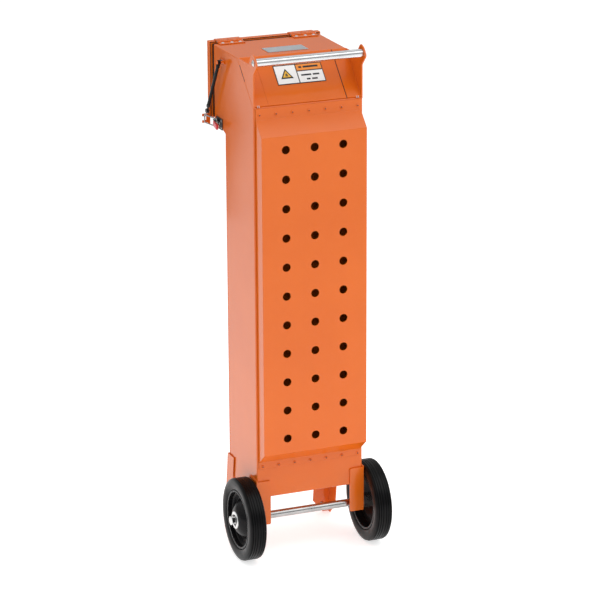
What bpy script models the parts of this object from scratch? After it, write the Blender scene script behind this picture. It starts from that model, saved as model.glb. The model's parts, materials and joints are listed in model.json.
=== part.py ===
"""A wheeled tank for moving hot cooking oil, with a hinged lid on the back of its head.

The tank stands upright on two wheels at the front and two feet at the back. The user
stands at the front (-Y), holds the bar and tips the tank onto its wheels. A perforated
guard keeps the user off the hot front. Units are metres: X runs across the tank, Y from
front to back and Z up, with the origin on the floor under the middle of the outline.

In the code, a "depth" is a distance behind the tank's front face.
"""

import math

import bmesh
import bpy
from mathutils import Matrix, Vector

# Clearances
REST_GAP = 0.0003  # between pieces that touch
RUN_GAP = 0.0005  # between pieces that turn or slide

# Tank: a sheet-steel box whose head leans back to a mouth behind it
TANK_WIDTH = 0.272
TANK_DEPTH = 0.188
TANK_FLOOR_Z = 0.1535
SHEET = 0.002
SLOPE_FOOT_Z = 1.112
SLOPE_TOP_DEPTH = 0.100
HEAD_TOP_Z = 1.2106
MOUTH_DEPTH = 0.2596
NECK_REAR_Z = 1.030
NECK_FRONT_Z = 1.008
RIM_THICKNESS = 0.003
MOUTH_WIDTH = 0.224
MOUTH_LOW_Z = 1.056
MOUTH_HIGH_Z = 1.187
CORNER_RADIUS = 0.003

# Side cheeks, which carry the handle bar in a pointed ear each
CHEEK_SHEET = 0.003
CHEEK_FLANGE_WIDTH = 0.038
EAR_REAR_DEPTH = 0.027
BAR_DEPTH = -0.003
BAR_Z = 1.2204
BAR_DIAMETER = 0.0195
BAR_BOLT_DIAMETER = 0.014
SLIT_LEFT = 0.0003
SLIT_RIGHT = 0.0018

# Perforated guard: a tray that stands off the front face
GUARD_WIDTH = 0.2626
GUARD_STANDOFF = 0.038
GUARD_TOP_Z = 1.1118
GUARD_TOP_BEND_Z = 1.0855
GUARD_FACE_TOP_Z = 1.051
GUARD_FACE_LOW_Z = 0.274
GUARD_LOW_BEND_Z = 0.245
GUARD_BOTTOM_Z = 0.228
VENT_COLUMNS, VENT_ROWS = 3, 11
VENT_PITCH_X, VENT_PITCH_Z = 0.0715, 0.0707
VENT_LOW_Z = 0.311
VENT_DIAMETER = 0.020

# Plates
NAMEPLATE = (0.100, 0.047, 0.001)
NAMEPLATE_DEPTH = 0.145
LABEL_WIDTH, LABEL_SHEET = 0.120, 0.0006
LABEL_LOW_DEPTH, LABEL_HIGH_DEPTH = 0.0385, 0.0765

# Lid: a shallow pan with a liner plate and a gasket, hung from two hinges
LID_WIDTH = 0.284
LID_LOW_Z, LID_HIGH_Z = 1.029, 1.2143
LID_REAR_DEPTH = 0.289
PAN_FRONT_DEPTH = 0.272
LINER_FRONT_DEPTH = 0.2683
GASKET_FRONT_DEPTH = 0.260
GASKET_WIDTH, GASKET_BAND = 0.273, 0.0175
GASKET_LOW_Z, GASKET_HIGH_Z = 1.033, 1.2098
HINGE_DEPTH, HINGE_Z = 0.2645, 1.2132
HINGE_MIDDLE_X = 0.0935
HINGE_LENGTH = 0.063
KNUCKLES = 5
KNUCKLE_RADIUS = 0.003
HINGE_PIN_RADIUS = 0.0014
LEAF = 0.0018
LEAF_FRONT_DEPTH = 0.242
LEAF_REAR_DEPTH = 0.2868

# Strut between the head's left side and the lid's left side
STRUT_X = -0.150
STRUT_TOP = (0.187, 1.183)
STRUT_FOOT = (0.272, 1.047)
STRUT_TUBE_RADIUS = 0.004
STRUT_ROD_RADIUS = 0.0021
STRUT_EYE_RADIUS = 0.0056
STRUT_EYE_LENGTH = 0.006
STRUT_PIN_RADIUS = 0.0028
STRUT_TUBE_SPAN = (0.0048, 0.015)  # short of the top pivot, short of the lower pivot
STRUT_TUBE_FLOOR = 0.012
STRUT_ROD_START = 0.016

# Draw latch on each side, at the lid's lower corner
LATCH_Z = 1.027
LEVER_PIVOT = (0.007, 0.236)  # distance out from the tank's side, depth
BAIL_PIVOT = (0.007, 0.226)
BAIL_BAR = (0.018, 0.279)
BAIL_WIRE_RADIUS = 0.0017
BAIL_HALF_HEIGHT = 0.0095
LEVER_HALF_HEIGHT = 0.0041
GRIP_HALF_HEIGHT = 0.0062
LEVER_EYE_RADIUS = 0.0042
LATCH_PIN_RADIUS = 0.0016
LUG_INNER, LUG_OUTER = 0.0045, 0.0063
LATCH_PIN_HEAD_RADIUS = 0.0026
LATCH_PLATE_HALF_HEIGHT = 0.0135
LATCH_PLATE_DEPTHS = (0.203, 0.243)
KEEPER_DEPTHS = (0.2715, 0.2865)
KEEPER_WALL_DEPTHS = (0.2738, 0.2765)
KEEPER_FINGER_DEPTHS = (0.2822, 0.2845)
KEEPER_FINGER_TIP = 0.0225

# Undercarriage
WHEEL_RADIUS = 0.100
AXLE_DEPTH = 0.018
AXLE_RADIUS = 0.0095
WHEEL_MIDDLE_X = 0.1623
AXLE_END_X = 0.1927
CAP_END_X = 0.1992
BRACKET_SHEET = 0.0025
BRACKET_FLANGE_WIDTH = 0.033
BRACKET_LOW_Z, BRACKET_HIGH_Z = 0.080, 0.199
BRACKET_REAR_DEPTH = 0.046
BRACKET_CORNER = 0.014
FOOT_SHEET = 0.003
FOOT_TOP_Z = 0.205
FOOT_FLANGE_FRONT = 0.150
FOOT_LEAN = 0.145  # how far it runs back for each unit that it goes down
FOOT_WEB_WIDTH = 0.045
FOOT_CHAMFER = 0.034

# Wheels: distances out from the wheel's middle plane, and radii
TYRE_HALF_WIDTH = 0.0215
BEAD_RADIUS = 0.070
RIM_HALF_WIDTH = 0.0178
RIM_WELL_RADIUS = 0.0665
RIM_LIP_RADIUS = 0.0745
RIM_SHEET = 0.0021
DOME_FOOT_RADIUS = 0.050
DOME_TOP_RADIUS = 0.0215
DOME_HEIGHT = 0.024
HUB_RADIUS = 0.018
HUB_HALF_LENGTH = 0.0205
RETAINER_RADIUS = 0.0212

SIDE = TANK_WIDTH / 2
FRONT_Y = -(LID_REAR_DEPTH + AXLE_DEPTH - WHEEL_RADIUS) / 2
SLOPE_ANGLE = math.atan2(HEAD_TOP_Z - SLOPE_FOOT_Z, SLOPE_TOP_DEPTH)


# ---------------------------------------------------------------- scene and materials


def clear_scene():
    for obj in list(bpy.data.objects):
        bpy.data.objects.remove(obj, do_unlink=True)


def make_material(name, colour, roughness, metallic=0.0):
    material = bpy.data.materials.new(name)
    material.use_nodes = True
    shader = material.node_tree.nodes["Principled BSDF"]
    shader.inputs["Base Color"].default_value = (*colour, 1.0)
    shader.inputs["Roughness"].default_value = roughness
    shader.inputs["Metallic"].default_value = metallic
    material.diffuse_color = (*colour, 1.0)
    return material


def make_materials():
    return {
        "paint": make_material("orange_paint", (0.80, 0.19, 0.045), 0.28),
        "chrome": make_material("chrome", (0.82, 0.83, 0.84), 0.12, 1.0),
        "zinc": make_material("zinc_plate", (0.62, 0.63, 0.64), 0.32, 1.0),
        "dark_steel": make_material("dark_steel", (0.06, 0.06, 0.065), 0.38, 0.6),
        "aluminium": make_material("aluminium_plate", (0.66, 0.69, 0.71), 0.35, 1.0),
        "label": make_material("label_film", (0.85, 0.85, 0.84), 0.4),
        "rubber": make_material("black_rubber", (0.02, 0.02, 0.022), 0.55),
        "grip": make_material("red_vinyl", (0.62, 0.03, 0.05), 0.35),
        "gasket": make_material("gasket_rubber", (0.012, 0.012, 0.012), 0.7),
        "black_paint": make_material("black_enamel", (0.015, 0.015, 0.017), 0.25),
    }


# ---------------------------------------------------------------- shapes


def back(depth):
    return FRONT_Y + depth


def side_point(x, depth, z):
    return Vector((x, back(depth), z))


def prism(points, sweep):
    """A flat outline of 3D points, extruded along the vector sweep."""
    bm = bmesh.new()
    face = bm.faces.new([bm.verts.new(p) for p in points])
    made = bmesh.ops.extrude_face_region(bm, geom=[face])["geom"]
    bmesh.ops.translate(
        bm, vec=sweep, verts=[v for v in made if isinstance(v, bmesh.types.BMVert)]
    )
    bmesh.ops.recalc_face_normals(bm, faces=bm.faces)
    return bm


def side_prism(outline, x_low, x_high):
    """An outline of (depth, z) points, extruded across the tank."""
    points = [side_point(x_low, depth, z) for depth, z in outline]
    return prism(points, Vector((x_high - x_low, 0, 0)))


def plan_prism(outline, z_low, z_high):
    """An outline of (x, depth) points, extruded upwards."""
    points = [side_point(x, depth, z_low) for x, depth in outline]
    return prism(points, Vector((0, 0, z_high - z_low)))


def front_prism(outline, depth_low, depth_high):
    """An outline of (x, z) points, extruded from front to back."""
    points = [side_point(x, depth_low, z) for x, z in outline]
    return prism(points, Vector((0, depth_high - depth_low, 0)))


def box(x_range, depth_range, z_range):
    (x0, x1), (d0, d1), (z0, z1) = x_range, depth_range, z_range
    return side_prism([(d0, z0), (d1, z0), (d1, z1), (d0, z1)], x0, x1)


def turned(profile, segments, ring=True):
    """A profile of (X, radius) points turned about X; a ring's profile is closed."""
    bm = bmesh.new()
    verts = [bm.verts.new((x, 0, radius)) for x, radius in profile]
    pairs = list(zip(verts, verts[1:]))
    if ring:
        pairs.append((verts[-1], verts[0]))
    edges = [bm.edges.new(pair) for pair in pairs]
    bmesh.ops.spin(
        bm,
        geom=verts + edges,
        cent=(0, 0, 0),
        axis=(1, 0, 0),
        angle=2 * math.pi,
        steps=segments,
        use_merge=True,
    )
    bmesh.ops.remove_doubles(bm, verts=bm.verts, dist=1e-7)
    bmesh.ops.recalc_face_normals(bm, faces=bm.faces)
    return bm


def rod(radius, x_low, x_high, segments=24):
    profile = [(x_low, 0), (x_low, radius), (x_high, radius), (x_high, 0)]
    return turned(profile, segments, ring=False)


def moved(bm, matrix):
    bmesh.ops.transform(bm, matrix=matrix, verts=bm.verts)
    return bm


def cylinder_x(radius, x_low, x_high, depth, z, segments=24):
    shift = Matrix.Translation(side_point(0, depth, z))
    return moved(rod(radius, x_low, x_high, segments), shift)


def cylinder_z(radius, z_low, z_high, x, depth, segments=20):
    upright = Matrix.Rotation(-math.pi / 2, 4, "Y")
    shift = Matrix.Translation(side_point(x, depth, 0))
    return moved(rod(radius, z_low, z_high, segments), shift @ upright)


def mirrored(bm):
    bmesh.ops.scale(bm, vec=(-1, 1, 1), verts=bm.verts)
    bmesh.ops.reverse_faces(bm, faces=bm.faces)
    return bm


def arc(centre, radius, start_deg, end_deg, steps):
    """Points on an arc in a plane, both ends included."""
    angles = [
        math.radians(start_deg + (end_deg - start_deg) * i / steps)
        for i in range(steps + 1)
    ]
    return [
        (centre[0] + radius * math.cos(a), centre[1] + radius * math.sin(a))
        for a in angles
    ]


def inset_outline(points, distance):
    """The outline moved inwards by distance, for points in anticlockwise order."""
    result = []
    for i, here in enumerate(points):
        before, after = points[i - 1], points[(i + 1) % len(points)]
        a = Vector((here[0] - before[0], here[1] - before[1])).normalized()
        b = Vector((after[0] - here[0], after[1] - here[1])).normalized()
        normal_a, normal_b = Vector((-a.y, a.x)), Vector((-b.y, b.x))
        bisector = (normal_a + normal_b).normalized()
        reach = distance / bisector.dot(normal_a)
        result.append((here[0] + bisector.x * reach, here[1] + bisector.y * reach))
    return result


def rounded_path(corners, radius, steps=5):
    """A path through 3D corners with each inner corner turned on an arc."""
    path = [Vector(corners[0])]
    for before, corner, after in zip(corners, corners[1:], corners[2:]):
        corner = Vector(corner)
        into = (Vector(before) - corner).normalized()
        out = (Vector(after) - corner).normalized()
        half = into.angle(out) / 2
        reach = radius / math.tan(half)
        centre = corner + (into + out).normalized() * (radius / math.sin(half))
        first = (corner + into * reach - centre).normalized()
        last = (corner + out * reach - centre).normalized()
        for i in range(steps + 1):
            path.append(centre + radius * first.slerp(last, i / steps))
    path.append(Vector(corners[-1]))
    return path


# ---------------------------------------------------------------- objects


def world_location(obj):
    return obj.location + (world_location(obj.parent) if obj.parent else Vector())


def link(obj, origin, parent):
    bpy.context.scene.collection.objects.link(obj)
    obj.location = Vector(origin) - (world_location(parent) if parent else Vector())
    obj.parent = parent
    return obj


def make_pivot(name, origin, parent=None):
    """An empty on a joint's axis, which the moving pieces hang from."""
    empty = bpy.data.objects.new(name, None)
    empty.empty_display_size = 0.02
    return link(empty, origin, parent)


def add(name, bm, material, parent=None, origin=None, smooth=True):
    """Turns world-space geometry into a named object whose origin is at origin."""
    if origin is None:
        origin = world_location(parent) if parent else Vector()
    bmesh.ops.translate(bm, vec=-Vector(origin), verts=bm.verts)
    mesh = bpy.data.meshes.new(name)
    bm.to_mesh(mesh)
    bm.free()
    if smooth:
        mesh.shade_smooth()
        mesh.set_sharp_from_angle(angle=math.radians(35))
    mesh.materials.append(material)
    return link(bpy.data.objects.new(name, mesh), origin, parent)


def soften(obj, width, segments=2, angle=40):
    bevel = obj.modifiers.new("Edges", "BEVEL")
    bevel.width = width
    bevel.segments = segments
    bevel.limit_method = "ANGLE"
    bevel.angle_limit = math.radians(angle)
    return obj


def combine(obj, bm, operation):
    """A Boolean with a hidden helper object that rides on obj."""
    helper = add(
        f"{obj.name}_helper_{len(obj.modifiers)}",
        bm,
        obj.data.materials[0],
        parent=obj,
        smooth=False,
    )
    helper.hide_render = True
    helper.display_type = "WIRE"
    boolean = obj.modifiers.new(operation.title(), "BOOLEAN")
    boolean.operation = operation
    boolean.solver = "EXACT"
    boolean.object = helper
    return obj


def cut(obj, bm):
    return combine(obj, bm, "DIFFERENCE")


def join(obj, bm):
    return combine(obj, bm, "UNION")


def add_wire(name, path, radius, material, parent, origin):
    """A round wire along a path of world points."""
    curve = bpy.data.curves.new(name, "CURVE")
    curve.dimensions = "3D"
    curve.bevel_depth = radius
    curve.bevel_resolution = 2
    curve.use_fill_caps = True
    spline = curve.splines.new("POLY")
    spline.points.add(len(path) - 1)
    for point, place in zip(spline.points, path):
        point.co = (*(place - Vector(origin)), 1.0)
    curve.materials.append(material)
    return link(bpy.data.objects.new(name, curve), origin, parent)


# ---------------------------------------------------------------- tank and head


def tank_outline():
    return [
        (0, TANK_FLOOR_Z),
        (TANK_DEPTH, TANK_FLOOR_Z),
        (TANK_DEPTH, NECK_FRONT_Z),
        (MOUTH_DEPTH, NECK_REAR_Z),
        (MOUTH_DEPTH, HEAD_TOP_Z),
        (SLOPE_TOP_DEPTH, HEAD_TOP_Z),
        (0, SLOPE_FOOT_Z),
    ]


def add_tank(mats):
    tank = add("tank_shell", side_prism(tank_outline(), -SIDE, SIDE), mats["paint"])
    soften(tank, CORNER_RADIUS, 2)
    inner = inset_outline(tank_outline(), SHEET)
    wall = SIDE - SHEET
    rim_depth = MOUTH_DEPTH - RIM_THICKNESS
    inner = [(min(depth, rim_depth), z) for depth, z in inner]
    cut(tank, side_prism(inner, -wall, wall))
    half = MOUTH_WIDTH / 2
    cut(
        tank,
        box(
            (-half, half),
            (rim_depth - 0.010, MOUTH_DEPTH + 0.010),
            (MOUTH_LOW_Z, MOUTH_HIGH_Z),
        ),
    )


def slope_band(low_depth, high_depth, low_offset, high_offset):
    """A strip parallel to the head's slope, between two offsets outward from it."""
    outward = (-math.sin(SLOPE_ANGLE), math.cos(SLOPE_ANGLE))

    def at(depth, offset):
        z = SLOPE_FOOT_Z + depth * math.tan(SLOPE_ANGLE)
        return depth + outward[0] * offset, z + outward[1] * offset

    return [
        at(low_depth, low_offset),
        at(high_depth, low_offset),
        at(high_depth, high_offset),
        at(low_depth, high_offset),
    ]


def cheek_outline():
    """The side plate ahead of the slope, with its ear round the bar's end."""
    lift = REST_GAP / math.cos(SLOPE_ANGLE)
    slope_top = SLOPE_TOP_DEPTH - lift / math.tan(SLOPE_ANGLE)
    ear_rear = [
        (EAR_REAR_DEPTH, HEAD_TOP_Z),
        (EAR_REAR_DEPTH - 0.003, 1.2175),
        (0.0210, 1.2235),
        (0.0160, 1.2310),
        (0.0105, 1.2365),
    ]
    ear_point = [(0.0070, 1.2392), (0.0020, 1.2392)]
    nose = [
        (-0.0100, 1.2340),
        (-0.0160, 1.2285),
        (-0.0206, 1.2230),
        (-0.0224, 1.2185),
        (-0.0206, 1.2130),
    ]
    throat = [(-0.0144, 1.2066), (-0.0060, 1.1980), (0, 1.1905)]
    return [
        (0, SLOPE_FOOT_Z + lift),
        (slope_top, HEAD_TOP_Z),
        *ear_rear,
        *ear_point,
        *nose,
        *throat,
    ]


def add_cheek(side, word, mats):
    inner, outer = side * (SIDE - CHEEK_SHEET), side * SIDE
    cheek = add(
        f"cheek_{word}", side_prism(cheek_outline(), inner, outer), mats["paint"]
    )
    flange = slope_band(
        0.003, SLOPE_TOP_DEPTH - 0.002, REST_GAP, REST_GAP + CHEEK_SHEET
    )
    flange_inner = side * (SIDE - CHEEK_FLANGE_WIDTH)
    join(cheek, side_prism(flange, flange_inner, inner + side * 0.001))
    bolt = [
        (SIDE + REST_GAP, 0),
        (SIDE + REST_GAP, BAR_BOLT_DIAMETER / 2),
        (SIDE + 0.0022, BAR_BOLT_DIAMETER / 2),
        (SIDE + 0.0038, BAR_BOLT_DIAMETER / 2 - 0.0018),
        (SIDE + 0.0042, 0),
    ]
    head = turned(bolt, 20, ring=False)
    if side < 0:
        head = mirrored(head)
    place = side_point(0, BAR_DEPTH, BAR_Z)
    add(f"handle_bolt_{word}", moved(head, Matrix.Translation(place)), mats["chrome"])


def add_head(mats):
    for side, word in ((-1, "left"), (1, "right")):
        add_cheek(side, word, mats)
    bar_half = SIDE - CHEEK_SHEET - REST_GAP
    add(
        "handle_bar",
        cylinder_x(BAR_DIAMETER / 2, -bar_half, bar_half, BAR_DEPTH, BAR_Z, 28),
        mats["chrome"],
    )
    flange_edge = SIDE - CHEEK_FLANGE_WIDTH
    sheet = slope_band(
        0.003, SLOPE_TOP_DEPTH - 0.002, REST_GAP, REST_GAP + CHEEK_SHEET
    )
    left, right = -flange_edge + SLIT_LEFT, flange_edge - SLIT_RIGHT
    add("slope_sheet", side_prism(sheet, left, right), mats["paint"])
    label_low = CHEEK_SHEET + 2 * REST_GAP
    label = slope_band(
        LABEL_LOW_DEPTH, LABEL_HIGH_DEPTH, label_low, label_low + LABEL_SHEET
    )
    half = LABEL_WIDTH / 2
    add("caution_label", side_prism(label, -half, half), mats["label"], smooth=False)
    width, length, thickness = NAMEPLATE
    low = HEAD_TOP_Z + REST_GAP
    plate = box(
        (-width / 2, width / 2),
        (NAMEPLATE_DEPTH - length / 2, NAMEPLATE_DEPTH + length / 2),
        (low, low + thickness),
    )
    add("nameplate", plate, mats["aluminium"], smooth=False)


# ---------------------------------------------------------------- guard


def add_guard(mats):
    half = GUARD_WIDTH / 2
    flange_back, flange_face = -REST_GAP, -(REST_GAP + SHEET)
    outline = [
        (flange_back, GUARD_TOP_Z),
        (flange_face, GUARD_TOP_Z),
        (flange_face, GUARD_TOP_BEND_Z),
        (-GUARD_STANDOFF, GUARD_FACE_TOP_Z),
        (-GUARD_STANDOFF, GUARD_FACE_LOW_Z),
        (flange_face, GUARD_LOW_BEND_Z),
        (flange_face, GUARD_BOTTOM_Z),
        (flange_back, GUARD_BOTTOM_Z),
    ]
    guard = add("heat_guard", side_prism(outline, -half, half), mats["paint"])
    rise = (GUARD_TOP_BEND_Z - GUARD_FACE_TOP_Z) / (GUARD_STANDOFF + flange_face)
    fall = (GUARD_LOW_BEND_Z - GUARD_FACE_LOW_Z) / (GUARD_STANDOFF + flange_face)
    run = GUARD_STANDOFF + 0.010
    tray = [
        (-GUARD_STANDOFF, GUARD_FACE_LOW_Z),
        (-GUARD_STANDOFF + run, GUARD_FACE_LOW_Z + fall * run),
        (-GUARD_STANDOFF + run, GUARD_FACE_TOP_Z + rise * run),
        (-GUARD_STANDOFF, GUARD_FACE_TOP_Z),
    ]
    inner = inset_outline(tray, SHEET)
    cut(guard, side_prism(inner, SHEET - half, half - SHEET))
    vents = bmesh.new()
    for column in range(VENT_COLUMNS):
        for row in range(VENT_ROWS):
            x = (column - (VENT_COLUMNS - 1) / 2) * VENT_PITCH_X
            place = side_point(x, -GUARD_STANDOFF, VENT_LOW_Z + row * VENT_PITCH_Z)
            bmesh.ops.create_cone(
                vents,
                cap_ends=True,
                segments=16,
                radius1=VENT_DIAMETER / 2,
                radius2=VENT_DIAMETER / 2,
                depth=0.016,
                matrix=Matrix.Translation(place) @ Matrix.Rotation(math.pi / 2, 4, "X"),
            )
    cut(guard, vents)


# ---------------------------------------------------------------- lid and hinges


def knuckle_spans(middle):
    """The (low, high) X of each knuckle, with a running gap between neighbours."""
    pitch = HINGE_LENGTH / KNUCKLES
    start = middle - HINGE_LENGTH / 2
    return [
        (start + i * pitch + RUN_GAP / 2, start + (i + 1) * pitch - RUN_GAP / 2)
        for i in range(KNUCKLES)
    ]


def add_leaf(name, middle, spans, plate_depths, tongue_depths, z_low, parent, mats):
    """A hinge leaf: a plate, and on each span a tongue that ends in a knuckle."""
    half = HINGE_LENGTH / 2
    z_range = (z_low, z_low + LEAF)
    plate = box((middle - half, middle + half), plate_depths, z_range)
    leaf = add(name, plate, mats["paint"], parent=parent)
    for low, high in spans:
        join(leaf, box((low, high), tongue_depths, z_range))
        join(leaf, cylinder_x(KNUCKLE_RADIUS, low, high, HINGE_DEPTH, HINGE_Z, 16))
    bore = HINGE_PIN_RADIUS + RUN_GAP
    ends = (middle - half - 0.005, middle + half + 0.005)
    cut(leaf, cylinder_x(bore, *ends, HINGE_DEPTH, HINGE_Z, 14))


def add_hinges(lid, mats):
    clear = KNUCKLE_RADIUS + RUN_GAP
    for side, word in ((-1, "left"), (1, "right")):
        middle = side * HINGE_MIDDLE_X
        spans = knuckle_spans(middle)
        add_leaf(
            f"hinge_{word}_fixed_leaf",
            middle,
            spans[0::2],
            (LEAF_FRONT_DEPTH, HINGE_DEPTH - clear),
            (HINGE_DEPTH - clear - 0.002, HINGE_DEPTH - 0.0005),
            HEAD_TOP_Z + REST_GAP,
            None,
            mats,
        )
        add_leaf(
            f"hinge_{word}_lid_leaf",
            middle,
            spans[1::2],
            (HINGE_DEPTH + clear, LEAF_REAR_DEPTH),
            (HINGE_DEPTH + 0.0010, HINGE_DEPTH + clear + 0.002),
            LID_HIGH_Z + REST_GAP,
            lid,
            mats,
        )
        half = HINGE_LENGTH / 2 + 0.001
        ends = (middle - half, middle + half)
        add(
            f"hinge_{word}_pin",
            cylinder_x(HINGE_PIN_RADIUS, *ends, HINGE_DEPTH, HINGE_Z, 14),
            mats["zinc"],
        )


def add_lid(mats):
    lid = make_pivot("lid_pivot", side_point(0, HINGE_DEPTH, HINGE_Z))
    half = LID_WIDTH / 2
    pan_box = box(
        (-half, half), (PAN_FRONT_DEPTH, LID_REAR_DEPTH), (LID_LOW_Z, LID_HIGH_Z)
    )
    pan = soften(add("lid_pan", pan_box, mats["paint"], parent=lid), 0.0016, 2)
    hollow = box(
        (SHEET - half, half - SHEET),
        (PAN_FRONT_DEPTH - 0.010, LID_REAR_DEPTH - SHEET),
        (LID_LOW_Z + SHEET, LID_HIGH_Z - SHEET),
    )
    cut(pan, hollow)
    liner = box(
        (-half + 0.0025, half - 0.0025),
        (LINER_FRONT_DEPTH, PAN_FRONT_DEPTH - REST_GAP),
        (LID_LOW_Z + 0.0025, LID_HIGH_Z - 0.0022),
    )
    add("lid_liner", liner, mats["paint"], parent=lid, smooth=False)
    seal_half = GASKET_WIDTH / 2
    gasket = box(
        (-seal_half, seal_half),
        (GASKET_FRONT_DEPTH, LINER_FRONT_DEPTH - REST_GAP),
        (GASKET_LOW_Z, GASKET_HIGH_Z),
    )
    seal = add("lid_gasket", gasket, mats["gasket"], parent=lid, smooth=False)
    inside = seal_half - GASKET_BAND
    cut(
        seal,
        box(
            (-inside, inside),
            (GASKET_FRONT_DEPTH - 0.010, LINER_FRONT_DEPTH + 0.010),
            (GASKET_LOW_Z + GASKET_BAND, GASKET_HIGH_Z - GASKET_BAND),
        ),
    )
    add_hinges(lid, mats)
    return lid


# ---------------------------------------------------------------- strut


def strut_frame():
    """Turns a piece made along X onto the line from the strut's top to its foot."""
    top, foot = side_point(STRUT_X, *STRUT_TOP), side_point(STRUT_X, *STRUT_FOOT)
    turn = (foot - top).to_track_quat("X", "Y").to_matrix().to_4x4()
    return Matrix.Translation(top) @ turn, (foot - top).length


def add_strut(lid, mats):
    frame, length = strut_frame()
    eye_low = STRUT_X - STRUT_EYE_LENGTH / 2
    eye_high = STRUT_X + STRUT_EYE_LENGTH / 2
    neck, mouth = STRUT_TUBE_SPAN[0], length - STRUT_TUBE_SPAN[1]
    bore = STRUT_ROD_RADIUS + RUN_GAP
    tube_profile = [
        (neck, 0),
        (neck, STRUT_TUBE_RADIUS),
        (mouth, STRUT_TUBE_RADIUS),
        (mouth, bore),
        (STRUT_TUBE_FLOOR, bore),
        (STRUT_TUBE_FLOOR, 0),
    ]
    top_pivot = make_pivot("strut_pivot", side_point(STRUT_X, *STRUT_TOP))
    tube = add(
        "strut_tube",
        moved(turned(tube_profile, 16, ring=False), frame),
        mats["black_paint"],
        parent=top_pivot,
    )
    eye = (eye_low, eye_high, *STRUT_TOP)
    join(tube, cylinder_x(STRUT_EYE_RADIUS, *eye, 18))
    pin_bore = STRUT_PIN_RADIUS + RUN_GAP
    cut(tube, cylinder_x(pin_bore, eye_low - 0.01, eye_high + 0.01, *STRUT_TOP, 16))

    rod_body = rod(STRUT_ROD_RADIUS, STRUT_ROD_START, length - 0.001, 12)
    rod_piece = add(
        "strut_rod", moved(rod_body, frame), mats["dark_steel"], parent=tube
    )
    join(rod_piece, cylinder_x(STRUT_EYE_RADIUS, eye_low, eye_high, *STRUT_FOOT, 18))
    add_strut_brackets(eye_low, eye_high, lid, mats)


def add_strut_brackets(eye_low, eye_high, lid, mats):
    """The plates on the tank and the lid, each with the stud that an eye turns on."""
    plate_face = -(SIDE + REST_GAP)
    depth, z = STRUT_TOP
    upper = add(
        "strut_upper_bracket",
        box(
            (plate_face - 0.0025, plate_face),
            (depth - 0.005, depth + 0.025),
            (z - 0.0048, z + 0.0048),
        ),
        mats["paint"],
    )
    head = eye_low - REST_GAP
    stud = (head - 0.001, plate_face - 0.001, *STRUT_TOP)
    join(upper, cylinder_x(STRUT_PIN_RADIUS, *stud, 16))
    stud_head = (head - 0.0016, head, *STRUT_TOP)
    join(upper, cylinder_x(STRUT_PIN_RADIUS * 1.5, *stud_head, 16))
    lid_side = -(LID_WIDTH / 2 + REST_GAP)
    depth, z = STRUT_FOOT
    lower = add(
        "strut_lower_bracket",
        box(
            (lid_side - 0.002, lid_side),
            (depth - 0.003, depth + 0.015),
            (z - 0.009, z + 0.009),
        ),
        mats["paint"],
        parent=lid,
    )
    stud = (eye_high + REST_GAP, lid_side - 0.001, *STRUT_FOOT)
    join(lower, cylinder_x(STRUT_PIN_RADIUS, *stud, 16))


# ---------------------------------------------------------------- latches


def out(side, distance):
    """The X that is distance out from the tank's side."""
    return side * (SIDE + distance)


def latch_plan(side, points):
    return [(out(side, distance), depth) for distance, depth in points]


def add_latch_base(side, word, mats):
    """A plate on the tank's side with two lugs that hold the lever's pin."""
    pin_x, pin_depth = out(side, LEVER_PIVOT[0]), LEVER_PIVOT[1]
    low, high = LATCH_Z - LATCH_PLATE_HALF_HEIGHT, LATCH_Z + LATCH_PLATE_HALF_HEIGHT
    faces = (out(side, REST_GAP), out(side, REST_GAP + 0.002))
    plate = box(faces, LATCH_PLATE_DEPTHS, (low, high))
    base = add(f"latch_{word}_base", plate, mats["dark_steel"])
    rear = LATCH_PLATE_DEPTHS[1]
    lug_points = [
        (0.0013, rear),
        (0.0013, rear - 0.014),
        (0.0105, rear - 0.0115),
        (0.0115, rear - 0.0025),
    ]
    lug = latch_plan(side, lug_points)
    for z_low in (LATCH_Z - LUG_OUTER, LATCH_Z + LUG_INNER):
        join(base, plan_prism(lug, z_low, z_low + LUG_OUTER - LUG_INNER))
    bore = LATCH_PIN_RADIUS + REST_GAP
    cut(base, cylinder_z(bore, low, high, pin_x, pin_depth, 14))

    half, end = LUG_OUTER + REST_GAP, LUG_OUTER + REST_GAP + 0.0007
    profile = [
        (-end, 0),
        (-end, LATCH_PIN_HEAD_RADIUS),
        (-half, LATCH_PIN_HEAD_RADIUS),
        (-half, LATCH_PIN_RADIUS),
        (half, LATCH_PIN_RADIUS),
        (half, LATCH_PIN_HEAD_RADIUS),
        (end, LATCH_PIN_HEAD_RADIUS),
        (end, 0),
    ]
    upright = Matrix.Rotation(-math.pi / 2, 4, "Y")
    place = Matrix.Translation(side_point(pin_x, pin_depth, LATCH_Z))
    pin = moved(turned(profile, 14, ring=False), place @ upright)
    add(f"latch_{word}_pin", pin, mats["zinc"])


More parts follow.
